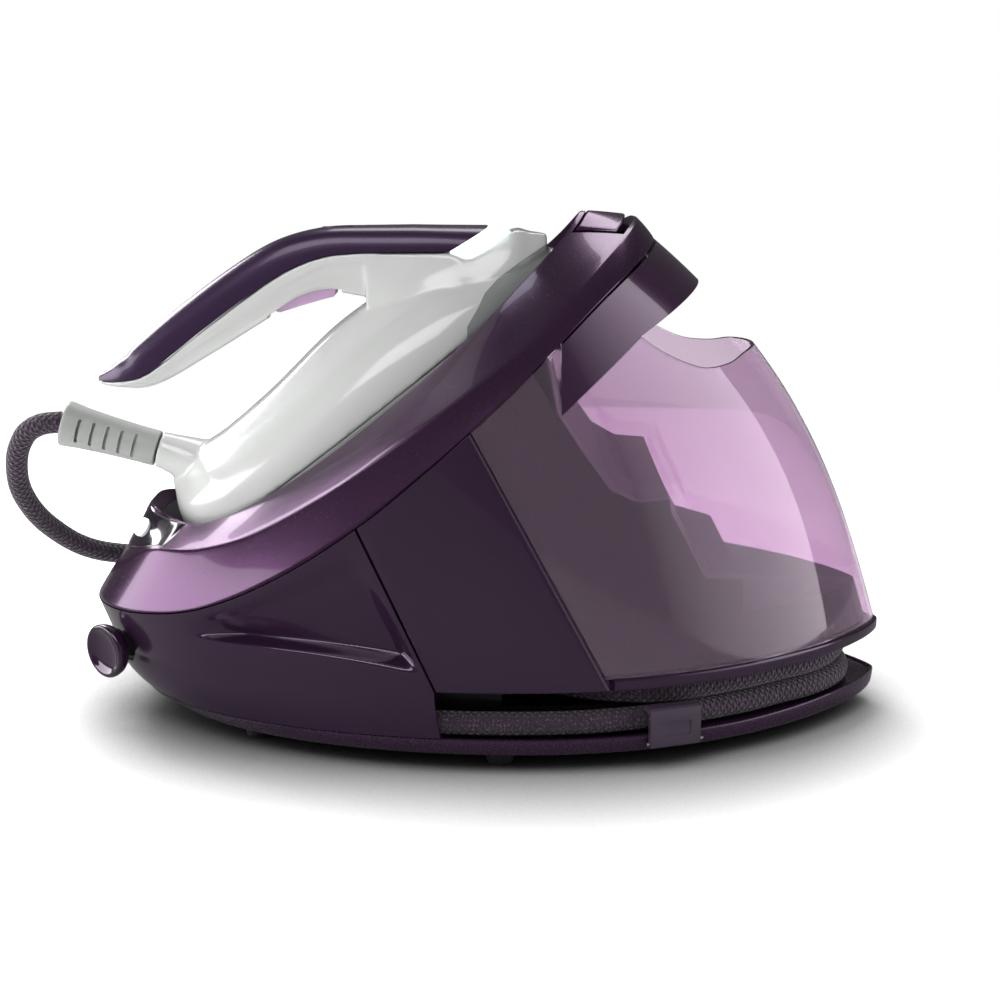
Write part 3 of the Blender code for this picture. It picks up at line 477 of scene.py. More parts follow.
CAD_LOOKS = {
    "aubergine_gloss": "dark_gloss", "lilac_gloss": "ring_pearl", "tank_clear": "tank_lilac",
    "white_gloss": "iron_white", "grey_satin": "handle_grey", "purple_satin": "cover_purple",
    "lilac_clear": "trigger_lilac", "light_white": "key_light", "black_rubber": "rubber_black",
    "dark_plastic": "inner_dark", "aluminium": "metal_cast", "steel": "metal_steel", "brass": "metal_brass",
    "board_green": "board_mask", "silicone": "silicone_pale", "braid": "braid",
}


def dress_cad_nodes():
    slots = {part["node"]: part["material_slot"] for part in frame["record"]["subparts"]}
    for name, obj in frame["nodes"].items():
        look = LOOKS[CAD_LOOKS[slots[name]]]
        if not obj.material_slots:
            obj.data.materials.append(look)
        for place in obj.material_slots:
            place.material = look


dress_cad_nodes()
frame["nodes"]["chassis_core"].material_slots[0].material = LOOKS["core_dark"]
frame["nodes"]["tank_valve"].material_slots[0].material = LOOKS["back_clear"]

# ---------------------------------------------------------------- hose
# The stored hose lies in the slot in two turns: (x, distance from the middle) from heel to nose. The upper
# turn lies STEP_IN further in, and CLIMB leads from one turn to the other: (x, y, share of the rise).
COIL = ((-186, 0), (-179, 29), (-155, 56), (-119, 79), (-60, 100), (0, 109), (60, 107.5), (110, 94.5), (150, 76),
        (174, 60.5), (196.6, 45), (214.2, 24.5), (220, 0))
STEP_IN = (0, 0, 0, 0, 3, 6.5, 6, 3, 2.5, 2.5, 2.5, 2.5, 2.5)
COIL_LOW, COIL_HIGH = 26.0, 39.4
CLIMB = ((-179, 29, 0.0), (-155, 56, 0.1), (-119, 78, 0.5), (-60, 98, 0.95))
LOOP_ROUTE = ((-243.8, 0, 173.2), (-257, 1, 171.5), (-268, 5, 164), (-276, 13, 147), (-277.5, 26, 124),
              (-268, 45, 99), (-246, 71, 76), (-205, 105, 62), (-155, 127, 52), (-105, 134, 41),
              (-60, 133.5, 32), (-25, 128.5, 28))
OUTLET_ROUTE = ((110, -91.5, 39.2), (82, -91.5, 38.8), (56, -83, 38.4), (32, -68, 38.4))


def coil_side(side, order, z, stepped=0.0):
    result = []
    for i in order:
        x, w = COIL[i]
        pull = STEP_IN[i] * stepped
        result.append((x - (pull if i > 10 else 0), side * max(0.0, w - (pull if i < 12 else 0)), z))
    return result


def stored_route():
    route = [(-23.7, 128.1, 28), (0, 121.5, 27.6), (25, 113.5, 27.4), (45, 109.3, 26.4), (60, 107.5, COIL_LOW)]
    route += coil_side(1, range(7, 13), COIL_LOW)
    route += coil_side(-1, range(11, -1, -1), COIL_LOW)
    route += [(x, y, COIL_LOW + (COIL_HIGH - COIL_LOW) * rise) for x, y, rise in CLIMB]
    route += coil_side(1, range(5, 13), COIL_HIGH, 1.0)
    route += coil_side(-1, range(11, 7, -1), COIL_HIGH, 1.0)
    return route + list(OUTLET_ROUTE)


def tube_mesh(name, path):
    """The hose round a path, with UVs: u round it and v along it in metres."""
    radius, sides = HOSE_D / 2, 20
    path = [Vector(p) for p in path]
    side = Vector((0, 0, 1))
    loops, lengths, length = [], [], 0.0
    for i, p in enumerate(path):
        along = (path[min(i + 1, len(path) - 1)] - path[max(i - 1, 0)]).normalized()
        side = (side - along * side.dot(along)).normalized()
        third = along.cross(side)
        if i:
            length += (p - path[i - 1]).length
        lengths.append(length)
        loops.append([tuple(p + (side * c + third * s) * radius) for c, s in circle(sides)])
    points = [p for loop in loops for p in loop]
    faces, uvs = [], []
    for r in range(len(loops) - 1):
        for k in range(sides):
            faces.append((r * sides + k, (r + 1) * sides + k, (r + 1) * sides + (k + 1) % sides,
                          r * sides + (k + 1) % sides))
            v0, v1 = lengths[r] * MM, lengths[r + 1] * MM
            uvs += [(k / sides, v0), (k / sides, v1), ((k + 1) / sides, v1), ((k + 1) / sides, v0)]
    faces += [tuple(range(sides)), tuple(reversed(range(len(points) - sides, len(points))))]
    uvs += [(0, 0)] * (2 * sides)
    mesh = bpy.data.meshes.new(name)
    mesh.from_pydata([tuple(MM * c for c in p) for p in points], [], faces)
    layer = mesh.uv_layers.new(name="UVMap")
    for i, uv in enumerate(uvs):
        layer.data[i].uv = uv
    return mesh, length * MM


def make_hose():
    stored_path = refined(stored_route(), 6)
    stored_mesh, stored_length = tube_mesh("stored_hose", stored_path)
    stored = finish("stored_hose", stored_mesh, "braid", "base", 60, ["hose_stored"])
    tuple(Vector(stored_route()[0]) * MM)
    loop_path = refined(LOOP_ROUTE, 8)
    loop_mesh, loop_length = tube_mesh("free_hose", loop_path)
    loop = placed("free_hose", loop_mesh)
    loop_mesh.materials.append(LOOKS["braid"])
    loop_mesh.shade_smooth()
    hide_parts("hose_loop")
    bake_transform(loop)


make_hose()


# ---------------------------------------------------------------- base
LIP_FOOT = 13.0  # the plate's lip starts at this height
LIP_RISE = 2.0  # and stands this much higher at the nose
KNOB_CENTRE = (-212.0, -52.5, 49.0)
KNOB_AXIS = Vector((-0.64, -0.768, -0.03)).normalized()
GLAND_PLACE, GLAND_AXIS = (-150, 70, 60), (-0.50, 0.86, 0.0)


def make_plate():
    """The bottom plate: a shallow dish with a rounded lip that rises towards the nose."""
    angles = ring_angles(180)

    def loop(share, grow, height):
        points = []
        for a in angles:
            low, high = outline(a, PLATE, grow), outline(a, PLATE_LIP, grow)
            top = PLATE_TOP + LIP_RISE * min(1.0, max(0.0, (high[0] - 150) / 70))
            f = max(0.0, height - LIP_FOOT) / (PLATE_TOP - LIP_FOOT)
            z = min(height, LIP_FOOT) + (top - LIP_FOOT) * f
            points.append((*mixed(low, high, share), z))
        return points

    section = [(0, -9, 9.0), (0, -3.5, 9.6), (0.0, -1.0, 11.0), (0.05, 0.0, 13.0), (0.5, 0.15, 16.0),
               (0.93, 0.0, 18.8), (1.0, -0.5, 19.75), (1.0, -1.3, 20.0), (1.0, -2.2, 19.7), (1.0, -3.0, 18.6),
               (0.6, -8, 17.5)]
    plate = loft("bottom_plate", [loop(*place) for place in section])
    finish("bottom_plate", plate, "plate_gloss", "base", 40, ["base_plate"])


def recess_depth(angle, t):
    """Depth of the hand recess in the housing's side, in millimetres."""
    a = min(angle, 360 - angle)
    ledge = ledge_share(a)
    across = ramp(a, 101.9, 105.2) * (1 - ramp(a, 126.5, 135.0))
    above = ramp(t, ledge - 0.004, ledge + 0.075)
    fade = 1 - ramp(t, ledge + 0.08, 1.0) * 0.999
    return 11.0 * across * above * (0.25 + 0.75 * fade) * (1 - ramp(t, 0.8, 0.995))


def ledge_share(a):
    return 0.11 + 0.48 * min(1.0, max(0.0, (a - 102) / 31))


def housing_point(angle, row, grow=0.0):
    """Row runs from 0 at the bottom edge over 1 at the sill to 2 at the ring's seam."""
    if row < 1:
        plan = mixed(outline(angle, PLATE_LIP, grow), outline(angle, SILL, grow), 1 - (1 - row) ** 2)
        bottom = PLATE_TOP + 0.35
        return (*plan, bottom + (SILL_Z - bottom) * row)
    t = (row - 1) * 0.996
    return hull(angle, t, grow - recess_depth(angle, t))


def make_housing():
    near_recess = steps(101.9, 136, 110)
    heel = steps(136, 224, 90)[1:-1]
    angles = near_recess + heel + [360 - a for a in reversed(near_recess)]
    rows = steps(0, 1, 10) + steps(1, 2, 90)[1:]
    housing = helper(slab("housing", housing_point, lambda a, r: housing_point(a, r, -3.0), angles, rows))
    boolean(housing, turned("knob_hole", KNOB_CENTRE, -KNOB_AXIS, [(-30, 10.3), (60, 10.3)], 48))
    boolean(housing, turned("gland_hole", GLAND_PLACE, GLAND_AXIS, [(0, 7.3), (60, 7.3)], 32))
    dressed(housing, "lower_housing", "dark_gloss", "base", ["rear_housing"], 50)


def dressed(obj, name, look, body, hides, sharp=40):
    """Turn a helper that was cut and joined into a finished piece."""
    mesh = obj.data
    bpy.data.objects.remove(obj)
    mesh.name = name
    mesh.materials.clear()
    finish(name, mesh, look, body, sharp, hides)


def make_side_panels():
    for side, name in ((-1, "near"), (1, "far")):
        def outer(u, t, grow=0.0):
            start = tank_edge(t) + 0.15
            edge = min(u, 1 - u, 5 * t, 5 * (1 - t))
            tuck = 0.7 * (1 - ramp(edge, 0.0, 0.03))
            return hull(side * (start + (PANEL_ANGLE - start) * u), t, grow - tuck)

        us = [0, 0.008, 0.016, 0.03] + steps(0.06, 0.94, 22) + [0.97, 0.984, 0.992, 1]
        vs = [0.004, 0.006, 0.01] + steps(0.02, 0.98, 60) + [0.99, 0.994, 0.996]
        mesh = slab("panel_" + name, outer, lambda u, t: outer(u, t, -2.6), us, vs)
        finish("side_cheek_" + name, mesh, "dark_gloss", "base", 50, ["side_panel_" + name])


def make_dock():
    def loop(z, grow):
        rear = [(*outline(a, SILL, -4.5 + grow), z) for a in steps(-112, -77.7, 20)]
        front = [(*outline(a, SILL, grow), z) for a in steps(-77.2, 77.2, 150)]
        inner = [(*outline(a, SILL, -34), z) for a in steps(112, -112, 60)]
        return rear + front + [(x, -y, h) for x, y, h in reversed(rear)] + inner

    loops = [loop(SILL_Z, -0.9), loop(SILL_Z + 0.4, -0.2), loop(SILL_Z + 1.2, 0), loop(TANK_Z - 1.8, 0),
             loop(TANK_Z - 0.9, -0.3), loop(TANK_Z - 0.36, -1.0)]
    finish("dock_shelf", loft("dock_shelf", loops), "dark_gloss", "base", 40, ["dock_frame"])


def ring_profile(a):
    """Points of the ring's section at one angle, from under the seam over both bands to the iron's wall."""
    seam, crease, rim = Vector(seam_point(a)), Vector(crease_point(a)), Vector(rim_point(a))
    seam.z += 0.45
    low, high = crease - seam, rim - crease
    turn = Vector(crease_point(a + 0.5)) - Vector(crease_point(a - 0.5))
    out_low, out_high = turn.cross(low).normalized(), turn.cross(high).normalized()
    lift = Vector((0, 0, 0.45))
    section = [Vector(seam_point(a, -6)) + lift, Vector(seam_point(a, -1.2)) + lift,
               seam + low * 0.008 - out_low * 0.35]
    for r in (0.03, 0.08, 0.2, 0.35, 0.5, 0.65, 0.8, 0.9, 0.955):
        section.append(seam + low * r + out_low * (2.0 * r * (1 - r)))
    section.append(seam + low * 0.985 - out_low * 0.02)
    section.append(crease + high * 0.012 - out_high * 0.10)
    for r in (0.04, 0.1, 0.2, 0.35, 0.5, 0.65, 0.8, 0.9, 0.95):
        section.append(crease + high * r + out_high * (1.6 * r * (1 - r)))
    section += [crease + high * 0.985 - out_high * 0.15, Vector(rim_point(a, 0.0, 0.7)),
                Vector(rim_point(a, -0.1, 2.2)), Vector(rim_point(a, 0, 9)), Vector(rim_point(a, 3, 9)),
                Vector(crease_point(a, -5, 5))]
    return [tuple(p) for p in section]


def band(angle, r, lift=0.0):
    """Point on the ring's upper band: r is 0 at the crease and 1 at the iron's rim."""
    def flat(a, q):
        crown = 1.6 * q * (1 - q)
        return Vector(crease_point(a)).lerp(Vector(rim_point(a)), q) + Vector((0, 0, crown))

    across = flat(angle + 1, r) - flat(angle - 1, r)
    along = flat(angle, r + 0.05) - flat(angle, r - 0.05)
    return tuple(flat(angle, r) + across.cross(along).normalized() * lift)


def patch(name, a0, a1, r0, r1, lift, thick, edge=0.45):
    """A thin plate that follows the ring's upper band, with softened edges."""
    def sheet(u, v, height):
        return band(a0 + (a1 - a0) * u, r0 + (r1 - r0) * v, height)

    def top(u, v):
        near = min(u, 1 - u, v, 1 - v)
        return sheet(u, v, lift - edge * (1 - ramp(near, 0, 0.03)))

    fine = [0, 0.006, 0.014, 0.03]
    us = fine + steps(0.06, 0.94, 40) + [1 - f for f in reversed(fine)]
    vs = fine + steps(0.06, 0.94, 16) + [1 - f for f in reversed(fine)]
    return slab(name, top, lambda u, v: sheet(u, v, lift - thick), us, vs)


BUTTONS = {"power_button": (180, "power_key"), "steam_button": (166, "steam_key"),
           "eco_button": (194, "eco_key")}  # angle on the ring, and body


def key_place(angle):
    """Centre and axis of a key on the ring's upper band."""
    centre = Vector(band(angle, 0.52))
    return centre, Vector(band(angle, 0.52, 1)) - centre


def make_ring():
    angles = ring_angles(240)
    sections = [ring_profile(a) for a in angles]
    loops = [[section[k] for section in sections] for k in range(len(sections[0]))]
    ring = helper(loft("ring", loops, closed=True))
    boolean(ring, patch("pocket", -21.5, 21.5, 0.05, 0.90, 5, 14, edge=0))
    for angle, _ in BUTTONS.values():
        centre, axis = key_place(angle)
        boolean(ring, turned("hole", centre - axis * 14, axis, [(0, 6.0), (20, 6.0)], 40))
    dressed(ring, "bezel_ring", "ring_pearl", "base", ["tray_ring"], 36)
    lock = patch("lock", -20, 20, 0.20, 0.86, 0.5, 2.4)
    finish("lock_slider", lock, "ring_pearl", "carry_lock", 40, ["carry_lock_button"])


def make_controls():
    panel = helper(patch("panel", 146.25, 213.75, 0.1, 0.92, 0.5, 0.9))
    for name, (angle, body) in BUTTONS.items():
        centre, axis = key_place(angle)
        boolean(panel, turned("hole", centre - axis * 6, axis, [(0, 6.0), (12, 6.0)], 40))
        cap = turned("cap", centre - axis * 4, axis,
                     [(0, 5.6), (5.6, 5.6), (6.5, 5.35), (6.9, 4.8), (6.6, 3.2), (6.3, 0.6)], 48)
        finish(name + "_cap", cap, "key_light", body, 40, [name])
    dressed(panel, "control_inlay", "panel_black", "base", ["control_panel"])


def make_tray():
    def loop(grow, offset=0.0, floor=None):
        points = []
        for a in ring_angles(160):
            s, y = outline(a, RIM, grow)
            n = floor if floor is not None else smooth(RIM_OFFSETS, outline(a, RIM)[0]) - offset
            points.append(tilted(s, y, n))
        return points

    loops = [loop(-3, 0, -17.0), loop(-0.9, 0, -16.6), loop(-0.6, 0, -15.5), loop(0, 9.4), loop(2.6, 9.4),
             loop(1.9, 0, -19.0), loop(0, 0, -19.5)]
    finish("rest_tray", loft("rest_tray", loops), "inner_dark", "base", 40, ["iron_tray"])


def make_knob():
    profile = [(-7, 7), (-6.2, 11.5), (-5.0, 13.4), (-3, 14.9), (-1, 15.6), (1.0, 15.9), (2.2, 15.8), (3.0, 15.2),
               (3.3, 14.3), (3.1, 13.3), (2.2, 12.0), (1.2, 10.0), (0.6, 7.0), (0.3, 3.5), (0.2, 0.4)]
    finish("knob_cap", turned("knob_cap", KNOB_CENTRE, KNOB_AXIS, profile, 96), "knob_purple", "decalc_cap",
           50, ["decalc_knob"])


CLIP_PLACE = (111.0, -109.3, 15.6)
CLIP_TURN = math.radians(19.0)


def make_clip():
    c, s = math.cos(CLIP_TURN), math.sin(CLIP_TURN)

    def place(along, out, up):
        return (CLIP_PLACE[0] + along * c + out * s, CLIP_PLACE[1] + along * s - out * c, CLIP_PLACE[2] + up)

    side = [(-1.6, -2.0), (1.6, -2.0), (1.7, 15.5), (1.0, 19.0), (-0.5, 20.0), (-7.5, 19.6), (-7.5, 17.6),
            (-2.6, 17.0), (-1.6, 15.5)]
    clip = helper(loft("clip", [[place(along, out, up) for out, up in side] for along in (-15, 15)]))
    axis = (c, s, 0)
    boolean(clip, turned("bore", place(-20, 0, 0), axis, [(0, 1.35), (40, 1.35)], 24))
    window = [[place(along, out, up) for along, up in ((-9, 4), (9, 4), (9, 12), (-9, 12))] for out in (1.1, 4)]
    boolean(clip, loft("window", window))
    bevelled(clip, 0.7)
    dressed(clip, "hose_catch", "clip_mauve", "clip", ["hose_clip"])


# ---------------------------------------------------------------- tank
def d_loops(grow, edge, low=TANK_Z, top=0.996):
    """Loops of the hull in front of a chord between the two sides at an edge angle."""
    loops = []
    for k in steps(0, 1, 40):
        loop = []
        for f in steps(-1, 1, 140):
            t_low = (low - SILL_Z) / (seam_point(f * edge(0))[2] - SILL_Z)
            t = t_low + (top - t_low) * k
            loop.append(hull(f * edge(t), t, grow))
        loops.append(loop)
    return loops


def skin(name, grow, low=40):
    """The hull's front, grown or shrunk, and running past the tank above, below and behind."""
    return loft(name, d_loops(grow, lambda t: 97, low, 1.06))


# Side outlines of the water and of the tank's back and floor: (x, z).
WATER_SHAPE = [(55, 197), (92, 229), (96, 262), (262, 262), (262, 84), (224, 89), (185, 102), (135, 112),
               (116, 146), (114.5, 156), (91, 156), (79.5, 164), (68, 181)]
BACK_SHAPE = [(55.5, 197), (47, 197), (62, 177.5), (76, 158.5), (89, 150), (110, 150), (110.5, 141), (131, 106),
              (185, 96), (226, 83), (262, 80), (262, 83.7), (224, 88.7), (185, 101.7), (134.7, 111.7),
              (115.7, 145.7), (114.2, 155.7), (90.8, 155.7), (79.2, 163.7), (67.7, 180.7)]
WATER_LEVEL = 170.0


def mouth_line():
    """The scooped edge of the tank's mouth, seen from the side: (x, z)."""
    return refined(MOUTH, 8) + [(190, 223.5), (280, 226)]


def make_tank():
    """A clear outer skin, a clear back and floor inside it, and the water."""
    tank = helper(loft("tank", d_loops(0, lambda t: tank_edge(t) - 0.15)))
    boolean(tank, skin("tank_room", -2.4))
    top = [(47, 196.5)] + mouth_line() + [(280, 360), (47, 360)]
    boolean(tank, prism("tank_top", top, -160, 160))
    dressed(tank, "tank_shell", "tank_lilac", "tank", ["water_tank"], 35)
    back = helper(prism("back", BACK_SHAPE, -150, 150))
    boolean(back, skin("back_skin", -2.5), "INTERSECT")
    dressed(back, "tank_back", "back_clear", "tank", [], 35)
    water = helper(prism("water", WATER_SHAPE, -150, 150))
    boolean(water, skin("water_skin", -2.5), "INTERSECT")
    air = [(20, WATER_LEVEL), (300, WATER_LEVEL), (300, 400), (20, 400)]
    boolean(water, prism("air", air, -160, 160))
    dressed(water, "tank_water", "water_clear", "tank", [], 35)


def make_tank_cap():
    cap = helper(loft("cap", d_loops(0, lambda t: tank_edge(t) - 0.15, 150)))
    keep = [(47.4, 197.2), (91, 235.5), (132, 259.5), (220, 262), (220, 360), (47.4, 360)]
    boolean(cap, prism("cap_slab", keep, -160, 160), "INTERSECT")
    hollow = [(40, 199), (50, 204), (90, 240.5), (96, 244), (96, 262), (75, 252), (40, 226)]
    room = helper(prism("cap_room", hollow, -150, 150))
    boolean(room, skin("cap_skin", -3.2, 150), "INTERSECT")
    boolean(cap, room.data)
    bpy.data.objects.remove(room)
    dressed(cap, "tank_cap_hood", "cap_gloss", "tank", ["tank_cap"], 35)


# ---------------------------------------------------------------- iron
# The body's lower edge over the plate, its section (shares of width and height) and its ridge (s, height).
SHELL_N = 1.1
SECTION = ((1.0, 0.0), (0.992, 0.16), (0.95, 0.36), (0.85, 0.53), (0.69, 0.68), (0.52, 0.80), (0.38, 0.90),
           (0.27, 0.97), (0.12, 1.0))
RIDGE = ((-140, 33), (-125, 38), (-96, 43), (-78, 42.3), (-42, 44), (8, 50), (36, 50), (60, 48), (75, 45.5),
         (90, 38.5), (105, 31), (118, 28.5), (135, 21.5), (146, 13.5))
# The neck between body and handle: x, foot and top heights, half widths at foot, middle and top.
NECK = ((-61.6, 236, 274.3, 18, 19.0, 19.6), (-45, 240, 274.3, 24, 21.0, 20.0),
        (-14.4, 248, 274.3, 30, 24.0, 21.5), (-1.0, 252, 271.6, 30, 24.5, 21.5),
        (21.3, 262, 285.6, 24, 19.0, 14.0), (32, 268, 284.9, 18, 12.5, 8.0),
        (42, 274, 283.6, 11, 7.5, 4.5))
GUARD_AXIS = Vector((-0.962, 0.0, 0.272)).normalized()
GUARD_START = (-187.6, 0.0, 157.2)
# The body's tail, from inside it out to the cord guard: x, z, half width, half height.
TAIL = ((-132, 139, 27, 16), (-150, 143.5, 24, 17), (-166, 149, 16.5, 14.5), (-178, 154, 12, 11.8),
        (-187, 157.0, 10.6, 10.6))


def body_point(angle, width, height, shrink=0.0):
    """Point of the iron's body: width and height are shares of its outline and of its ridge."""
    c = math.cos(math.radians(angle))
    reach = 1 - (1 - width) * (0.13 if c < 0 else 0.24 + 0.06 * height)
    s = IRON[0] + (outline(angle, IRON, -shrink)[0] - IRON[0]) * reach
    y = outline(angle, IRON, -shrink)[1] * width
    top = smooth(RIDGE, s) - shrink
    return tilted(s, y, SHELL_N + (top - SHELL_N) * height)


def body_loops(shrink=0.0, low=None):
    angles = ring_angles(176)
    loops = [[body_point(a, w, h, shrink) for a in angles] for w, h in refined(SECTION, 5)]
    if low is not None:
        loops.insert(0, [tilted(*outline(a, IRON, -shrink), low) for a in angles])
    return loops


def neck_loops():
    loops = []
    for x, low, high, foot, middle, top in refined(NECK, 4):
        half = [(foot, low), (foot * 0.96, low + 0.25 * (high - low)), (middle, low + 0.62 * (high - low)),
                (top, high - 1.2), (top - 1.2, high)]
        half = refined(half[:4], 4) + half[4:]
        loops.append([(x, y, z) for y, z in half] + [(x, -y, z) for y, z in reversed(half)])
    return loops


def ellipse_loop(x, z, half_y, half_n):
    """An ellipse square to the cord guard's axis."""
    across = Vector((-GUARD_AXIS.z, 0, GUARD_AXIS.x))
    return [tuple(Vector((x, 0, z)) + across * (half_n * s) + Vector((0, half_y * c, 0))) for c, s in circle(64)]


def plan_loops(section):
    """Loops round the iron's plan: section gives growth and height over the plate."""
    return [[tilted(*outline(a, IRON, grow), n) for a in ring_angles(160)] for grow, n in section]


def make_iron_body():
    """Body, neck, tail and grip joined into one skin, evened and softened, then hollowed."""
    shell = helper(loft("body", body_loops()))
    boolean(shell, loft("neck", neck_loops()), "UNION")
    boolean(shell, loft("tail", [ellipse_loop(*place) for place in refined(TAIL, 5)]), "UNION")
    frames = handle_frames()
    place, across, up, down, half = frames[-1]
    frames.append((place + Vector((8, 0, 0)), across, up, down, half))
    boolean(shell, loft("grip", [grip_loop(*f) for f in frames]), "UNION")
    remesh = shell.modifiers.new("even", "REMESH")
    remesh.mode = "VOXEL"
    remesh.voxel_size = 1.15 * MM
    soften = shell.modifiers.new("soften", "SMOOTH")
    soften.factor = 0.5
    soften.iterations = 8
    apply_modifiers(shell)
    boolean(shell, loft("body_room", body_loops(4.0, -6.0)))
    pocket = [(-119.5, 232), (-119.5, 250), (-112, 257.5), (-100, 259), (-88, 261), (-76, 261), (-76, 246),
              (-88, 241.5), (-100, 238)]
    boolean(shell, prism("trigger_pocket", pocket, -10, 10))
    dressed(shell, "iron_body", "iron_white", "iron", ["iron_shell", "handle_grip"], 60)
    ring = plan_loops([(-0.8, -9.0), (-0.35, -8.6), (-0.3, 0.3), (-0.8, 0.7), (-5, 0.7), (-5, -9.0)])
    finish("heat_skirt", loft("heat_skirt", ring, closed=True), "handle_grey", "iron", 40,
           ["iron_skirt"])
    bottom = plan_loops([(-3.5, -14.0), (-2.2, -13.6), (-1.5, -12.8), (-1.5, -9.8), (-1.9, -9.4)])
    finish("sole", loft("sole", bottom), "metal_cast", "iron", 40, ["soleplate"])


def make_guard():
    """The cord guard, with five slits cut into each side."""
    profile = [(0.4, 10.2), (0.9, 10.7), (14, 10.8), (30, 11.4), (45, 12.3), (55, 13.4), (56.2, 13.4),
               (57, 12.8), (57, 7.2), (50, 6.9)]
    guard = helper(turned("guard", GUARD_START, GUARD_AXIS, profile, 96))
    across = Vector((0.272, 0, 0.962))
    lean = Matrix.Rotation(math.atan2(across.x, across.z), 3, "Y")
    for i in range(5):
        centre = Vector(GUARD_START) + GUARD_AXIS * (13 + 8.4 * i)
        for side in (-1, 1):
            corners = [(-0.9, -7.0), (0.9, -7.0), (0.9, 7.0), (-0.9, 7.0)]
            loops = [[tuple(centre + lean @ Vector((u, 0, v)) + Vector((0, side * y, 0))) for u, v in corners]
                     for y in (7.6, 20)]
            boolean(guard, loft("slit", loops))
    dressed(guard, "flex_guard", "guard_grey", "iron", ["cord_guard"])


# Along the line where cover and grip meet: x, z, height of the cover, depth of the grip, half width.
HANDLE = ((-219.5, 198.5, 3.5, 2.0, 5), (-205, 199.5, 11.5, 5, 13), (-188, 205, 17.5, 9, 17),
          (-160, 226.5, 19, 14, 19), (-130, 248.5, 19, 17, 19.5), (-107, 263.5, 17.8, 18, 19.5),
          (-85, 272, 15.2, 22, 19.5), (-62, 274.2, 14.0, 27, 20))
COVER_FRONT = ((-35, 274.7, 13.8, 21.5), (-22, 274.7, 13.6, 22))
COVER_SECTION = ((1.0, 0.0), (0.998, 0.08), (0.985, 0.25), (0.95, 0.45), (0.87, 0.68), (0.75, 0.84), (0.6, 0.94),
                 (0.4, 0.99), (0.15, 1.0))
# The grip's side strip ends this far under the parting line, and the underside is set in below it.
STRIP = ((-220, 0.8), (-188, 1.6), (-160, 3.2), (-130, 6.2), (-107, 6.0), (-85, 4.6), (-62, 5.0))


def handle_frames():
    """Place, direction across the parting line, and sizes at each station of the handle."""
    rows = refined(HANDLE, 8)
    frames = []
    for i, (x, z, up, down, half) in enumerate(rows):
        x0, z0 = rows[max(0, i - 1)][:2]
        x1, z1 = rows[min(len(rows) - 1, i + 1)][:2]
        along = Vector((x1 - x0, 0, z1 - z0)).normalized()
        if i == len(rows) - 1:
            along = Vector((1, 0, 0))
        frames.append((Vector((x, 0, z)), Vector((-along.z, 0, along.x)), up, down, half))
    return frames


def mirrored_loop(half, place, up):
    """Half a section, as (width, height), with its other half, in the world."""
    both = half + [(-w, h) for w, h in reversed(half)]
    return [tuple(place + up * h + Vector((0, w, 0))) for w, h in both]


def grip_loop(place, across, up, down, half):
    strip = min(smooth(STRIP, place.x), down * 0.6)
    under = down - strip
    points = [(half - 0.5, 0), (half, 0.5), (half, strip * 0.6), (half - 0.3, strip), (half - 1.2, strip + 0.5),
              (half - 1.9, strip + 0.15 * under), (half * 0.84, strip + 0.4 * under),
              (half * 0.68, strip + 0.7 * under), (half * 0.45, strip + 0.92 * under), (half * 0.15, down)]
    return mirrored_loop(points, place, -across)


def cover_loop(place, across, up, half, start):
    return mirrored_loop([(w * half, start + h * (up - start)) for w, h in COVER_SECTION], place, across)


def cover_loops(inset=0.0, start=0.35):
    loops = [cover_loop(place, across, max(0.6, up - inset), max(1.0, half - inset), start)
             for place, across, up, down, half in handle_frames()]
    for x, z, up, half in COVER_FRONT:
        loops.append(cover_loop(Vector((x, 0, z)), Vector((0, 0, 1)), up - inset, half - inset, start))
    lean = Vector((22.4, 0, 13.3)) / 13.3
    loops.append(cover_loop(Vector((-14.5 - inset, 0, 274.7)), lean, 13.4 - inset, 21 - inset, start))
    return loops


def rounded_box(name, centre, size, width):
    """A box as a helper, with its edges rounded over a width."""
    mesh = bpy.data.meshes.new(name)
    work = bmesh.new()
    bmesh.ops.create_cube(work, size=1.0)
    bmesh.ops.scale(work, vec=[s * MM for s in size], verts=work.verts)
    bmesh.ops.translate(work, vec=[c * MM for c in centre], verts=work.verts)
    work.to_mesh(mesh)
    work.free()
    return bevelled(helper(mesh), width) if width else helper(mesh)


def make_handle():
    cover = helper(loft("cover", cover_loops()))
    boolean(cover, loft("cover_room", cover_loops(2.6, -4.0)[3:]))
    hole = rounded_box("button_hole", (-79, 0, 286), (18.9, 11.9, 14), 0)
    boolean(cover, hole.data)
    bpy.data.objects.remove(hole)
    dressed(cover, "grip_cover", "cover_purple", "iron", ["handle_cover"])
    slant = [(-13.9, 275.05), (-1.6, 272.6), (20.6, 286.6), (9.0, 288.3)]
    strip = bevelled(helper(prism("strip", slant, -19.5, 19.5)), 1.2)
    dressed(strip, "status_strip", "strip_light", "iron", ["status_light"])
    key = rounded_box("key", (-79, 0, 285.8), (18, 11, 3.4), 1.2)
    dressed(key, "mode_key_cap", "cover_purple", "mode_key", ["mode_button"])
    lever = [(-116, 240.2), (-112, 239.2), (-100, 243.0), (-86, 247.0), (-80, 248.5), (-79, 256), (-86, 257),
             (-100, 251.5), (-116, 246)]
    trigger = bevelled(helper(prism("lever", lever, -9.3, 9.3)), 1.1, 50)
    dressed(trigger, "trigger_lever", "trigger_lilac", "trigger", ["steam_trigger"])


# ---------------------------------------------------------------- stage and light
FLOOR_GLOW = 0.08  # light that the floor gives by itself
WORLD_DIM = 0.075  # the world's brightness in reflections and as light
SHADE_REACH, SHADE_POWER = 0.11, 1.7  # how far the contact shade spreads, in metres, and how fast it deepens


